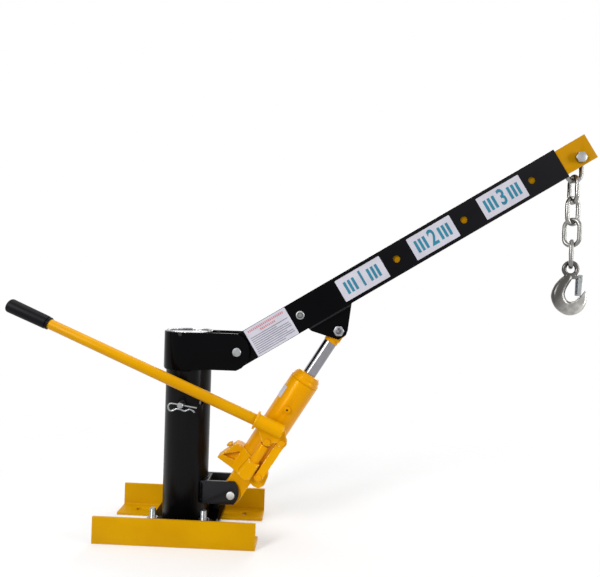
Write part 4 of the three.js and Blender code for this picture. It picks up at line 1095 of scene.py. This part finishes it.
PLUG_X = 203
PLUG_FACE = -32.8
PLUG_CENTRE_RADIUS = 1.9
PLUG_CENTRE_DEPTH = 0.6
PLUG_SIDES = 24
ROD_RADIUS = 13.3
ROD_LOW = 140.9
ROD_HIGH = 357.5
# The plain sticker wraps round the reservoir, by angles in degrees, between two places along it
STICKER_X = (213, 238.5)
STICKER_RADII = (29.85, 30.1)
STICKER_TURN = 52
STICKER_WRAP = 76
STICKER_STEPS = 24
STICKER_SMOOTH = 40.0

cast("jack_base", "jack", 1.0, 8, yellow_cast)
refined("reservoir", "jack", 0.6)
refined("cylinder_head", "jack", 0.8)
refined("filler_plug", "jack", 1.0)
refined("release_valve", "valve", 0.6, yellow_cast)
refined("pump_barrel", "jack", 0.8)
refined("link_pin", "jack", 0.5)
refined("pump_plunger", "plunger", 0.5, yellow)
cast("pump_link", "pump_link", 0.8, 5, yellow_cast)
cast("handle_socket", "lever", 0.9, 5, yellow_cast)
refined("lever_pin", "lever", 0.5)
refined("plunger_pin", "lever", 0.5)
refined("rod_eye", "ram", 1.2)

plug_front = PLUG_FACE - PLUG_CENTRE_DEPTH
plug_profile = [
    (0, plug_front),
    (PLUG_CENTRE_RADIUS, plug_front),
    (PLUG_CENTRE_RADIUS, PLUG_FACE),
    (0, PLUG_FACE),
]
plug_centre = turned(plug_profile, PLUG_SIDES, "Y")
place = JACK @ Matrix.Translation((PLUG_X, 0, 0))
finished("filler_plug_centre", plug_centre, black, "jack", matrix=place)

rod = turned([(0, ROD_LOW), (ROD_RADIUS, ROD_LOW), (ROD_RADIUS, ROD_HIGH), (0, ROD_HIGH)], ROUND_SIDES, "X")
finished("jack_rod_fine", rod, chrome, "ram", ("jack_rod",), JACK)


def jack_sticker():
    mesh = bmesh.new()
    inner, outer = STICKER_RADII
    start, end = STICKER_X
    section = ((start, inner), (end, inner), (end, outer), (start, outer))
    rows = []
    for step in range(STICKER_STEPS + 1):
        turn = math.radians(STICKER_TURN + STICKER_WRAP * step / STICKER_STEPS)
        y = -math.cos(turn)
        z = math.sin(turn)
        rows.append([mesh.verts.new((x, r * y, r * z)) for x, r in section])
    for low, high in zip(rows, rows[1:]):
        join_rings(mesh, low, high)
    mesh.faces.new(rows[0])
    mesh.faces.new(rows[-1])
    finished("jack_sticker", mesh, sticker_white, "jack", matrix=JACK, smooth=STICKER_SMOOTH)


jack_sticker()


# Handle

GRIP_END_RADIUS = 13.6
GRIP_ROUND = 5.5
GRIP_ROUND_STEPS = 8
# The grip's collar and groove at its inner end, as (radius, distance from that end) pairs
GRIP_COLLAR = [
    (0, 0.4),
    (10.6, 0.4),
    (11.8, 0.4),
    (12.2, 0.9),
    (12.2, 3.4),
    (11.8, 3.9),
    (11.0, 4.3),
    (11.0, 5.3),
    (12.3, 5.8),
    (12.8, 6.6),
    (12.9, 12.0),
    (13.4, 60.0),
]


def handle_grip():
    """The grip, turned round the handle's axis from its inner end to its rounded outer end."""
    corners = [vertex.co / MM for vertex in frame["nodes"]["handle_grip"].data.vertices]
    middle = sum(corners, Vector()) / len(corners)
    reach = [(corner - middle).dot(handle_axis) for corner in corners]
    length = max(reach) - min(reach)
    turn_to_axis = handle_axis.to_track_quat("X", "Z").to_matrix().to_4x4()
    place = Matrix.Translation(middle + handle_axis * min(reach)) @ turn_to_axis
    profile = list(GRIP_COLLAR)
    for step in range(GRIP_ROUND_STEPS + 1):
        turn = math.radians(90 * step / GRIP_ROUND_STEPS)
        radius = GRIP_END_RADIUS - GRIP_ROUND * (1 - math.cos(turn))
        profile.append((radius, length - GRIP_ROUND * (1 - math.sin(turn))))
    profile.append((0, length))
    mesh = turned(profile, ROUND_SIDES, "X")
    finished("handle_grip_fine", mesh, grip_rubber, "handle", ("handle_grip",), place)


refined("handle_tube", "handle", 0.4, yellow_handle)
handle_grip()


# Floor, light and camera

# The floor's radius and drop, and the distances between which it fades, are in metres
FLOOR_RADIUS = 3.2
FLOOR_DROP = 0.0005
FLOOR_WHITE = 0.93
FLOOR_OPACITY = 0.72
FADE_START = 0.3
FADE_END = 1.05
WORLD_LIGHT = 0.36


def soft_floor():
    """A pale round floor that fades into the background."""
    mesh = bmesh.new()
    bmesh.ops.create_circle(mesh, cap_ends=True, segments=ROUND_SIDES, radius=FLOOR_RADIUS)
    floor = bpy.data.objects.new("floor", mesh_data("floor", mesh))
    floor.location.z = -FLOOR_DROP
    bpy.context.scene.collection.objects.link(floor)
    n = Nodes("floor_white")
    n.set(Base_Color=(FLOOR_WHITE, FLOOR_WHITE, FLOOR_WHITE, 1), Roughness=0.9, Specular_IOR_Level=0.1)
    distance = n.add("ShaderNodeVectorMath", None, {0: n.place}, operation="LENGTH").outputs["Value"]
    n.link(n.ramp(distance, FADE_START, FADE_END, FLOOR_OPACITY, 0.0), "Alpha")
    dress(floor, n.material)


def lamp(name, place, target, size, energy):
    """A rectangular lamp. Places and sizes are in metres."""
    data = bpy.data.lights.new(name, "AREA")
    data.shape = "RECTANGLE"
    data.size, data.size_y = size
    data.energy = energy
    obj = bpy.data.objects.new(name, data)
    obj.location = place
    obj.rotation_euler = (Vector(target) - Vector(place)).to_track_quat("-Z", "Y").to_euler()
    bpy.context.scene.collection.objects.link(obj)


def studio_world():
    """White where it is seen, mirrored or seen through, and dimmer as a light."""
    world = bpy.data.worlds.new("studio")
    bpy.context.scene.world = world
    world.use_nodes = True
    tree = world.node_tree
    background = tree.nodes["Background"]
    background.inputs["Color"].default_value = (1, 1, 1, 1)
    path = tree.nodes.new("ShaderNodeLightPath")
    shown = tree.nodes.new("ShaderNodeMath")
    shown.operation = "MAXIMUM"
    passed = tree.nodes.new("ShaderNodeMath")
    passed.operation = "MAXIMUM"
    tree.links.new(path.outputs["Is Glossy Ray"], passed.inputs[0])
    tree.links.new(path.outputs["Is Transmission Ray"], passed.inputs[1])
    tree.links.new(path.outputs["Is Camera Ray"], shown.inputs[0])
    tree.links.new(passed.outputs[0], shown.inputs[1])
    strength = tree.nodes.new("ShaderNodeMapRange")
    strength.inputs["To Min"].default_value = WORLD_LIGHT
    strength.inputs["To Max"].default_value = 1.0
    tree.links.new(shown.outputs[0], strength.inputs["Value"])
    tree.links.new(strength.outputs["Result"], background.inputs["Strength"])


soft_floor()
studio_world()
lamp("key", (-1.45, -1.85, 1.5), (0, 0, 0.35), (0.7, 1.3), 40)
lamp("fill", (2.6, -0.95, 0.9), (0, 0, 0.35), (0.5, 1.2), 26)
lamp("top", (0.0, 0.2, 2.4), (0, 0, 0.3), (2.4, 1.6), 24)
lamp("rear", (0.4, 2.4, 1.2), (0, 0, 0.35), (2.0, 1.4), 24)

# The camera that fits the photo: angles in degrees, its place in millimetres from the mast's foot,
# the focal length and the photo's width in pixels, and the clip distances in metres
CAMERA_YAW = -1.88
CAMERA_PITCH = 0.33
CAMERA_ROLL = 1.80
CAMERA_PLACE = (253.8, -1097.7, 491.7)
FOCAL_PIXELS = 550.9
PHOTO_WIDTH = 600
SENSOR_WIDTH = 36.0
CLIP_START = 0.05
CLIP_END = 50


def photo_camera():
    yaw = math.radians(CAMERA_YAW)
    pitch = math.radians(CAMERA_PITCH)
    roll = math.radians(CAMERA_ROLL)
    forward = Vector((math.sin(yaw) * math.cos(pitch), math.cos(yaw) * math.cos(pitch), -math.sin(pitch)))
    right = Vector((math.cos(yaw), -math.sin(yaw), 0))
    up = right.cross(forward)
    right_rolled = math.cos(roll) * right + math.sin(roll) * up
    up_rolled = -math.sin(roll) * right + math.cos(roll) * up
    turn = Matrix((right_rolled, up_rolled, -forward)).transposed().to_4x4()
    data = bpy.data.cameras.new("photo_camera")
    data.sensor_width = SENSOR_WIDTH
    data.lens = FOCAL_PIXELS / PHOTO_WIDTH * SENSOR_WIDTH
    data.clip_start = CLIP_START
    data.clip_end = CLIP_END
    camera = bpy.data.objects.new("photo_camera", data)
    bpy.context.scene.collection.objects.link(camera)
    from_mast, depth, height = CAMERA_PLACE
    camera.matrix_world = Matrix.Translation(Vector((mast_x + from_mast, depth, height)) * MM) @ turn
    bpy.context.scene.camera = camera


photo_camera()
bpy.context.scene.view_settings.view_transform = "Standard"
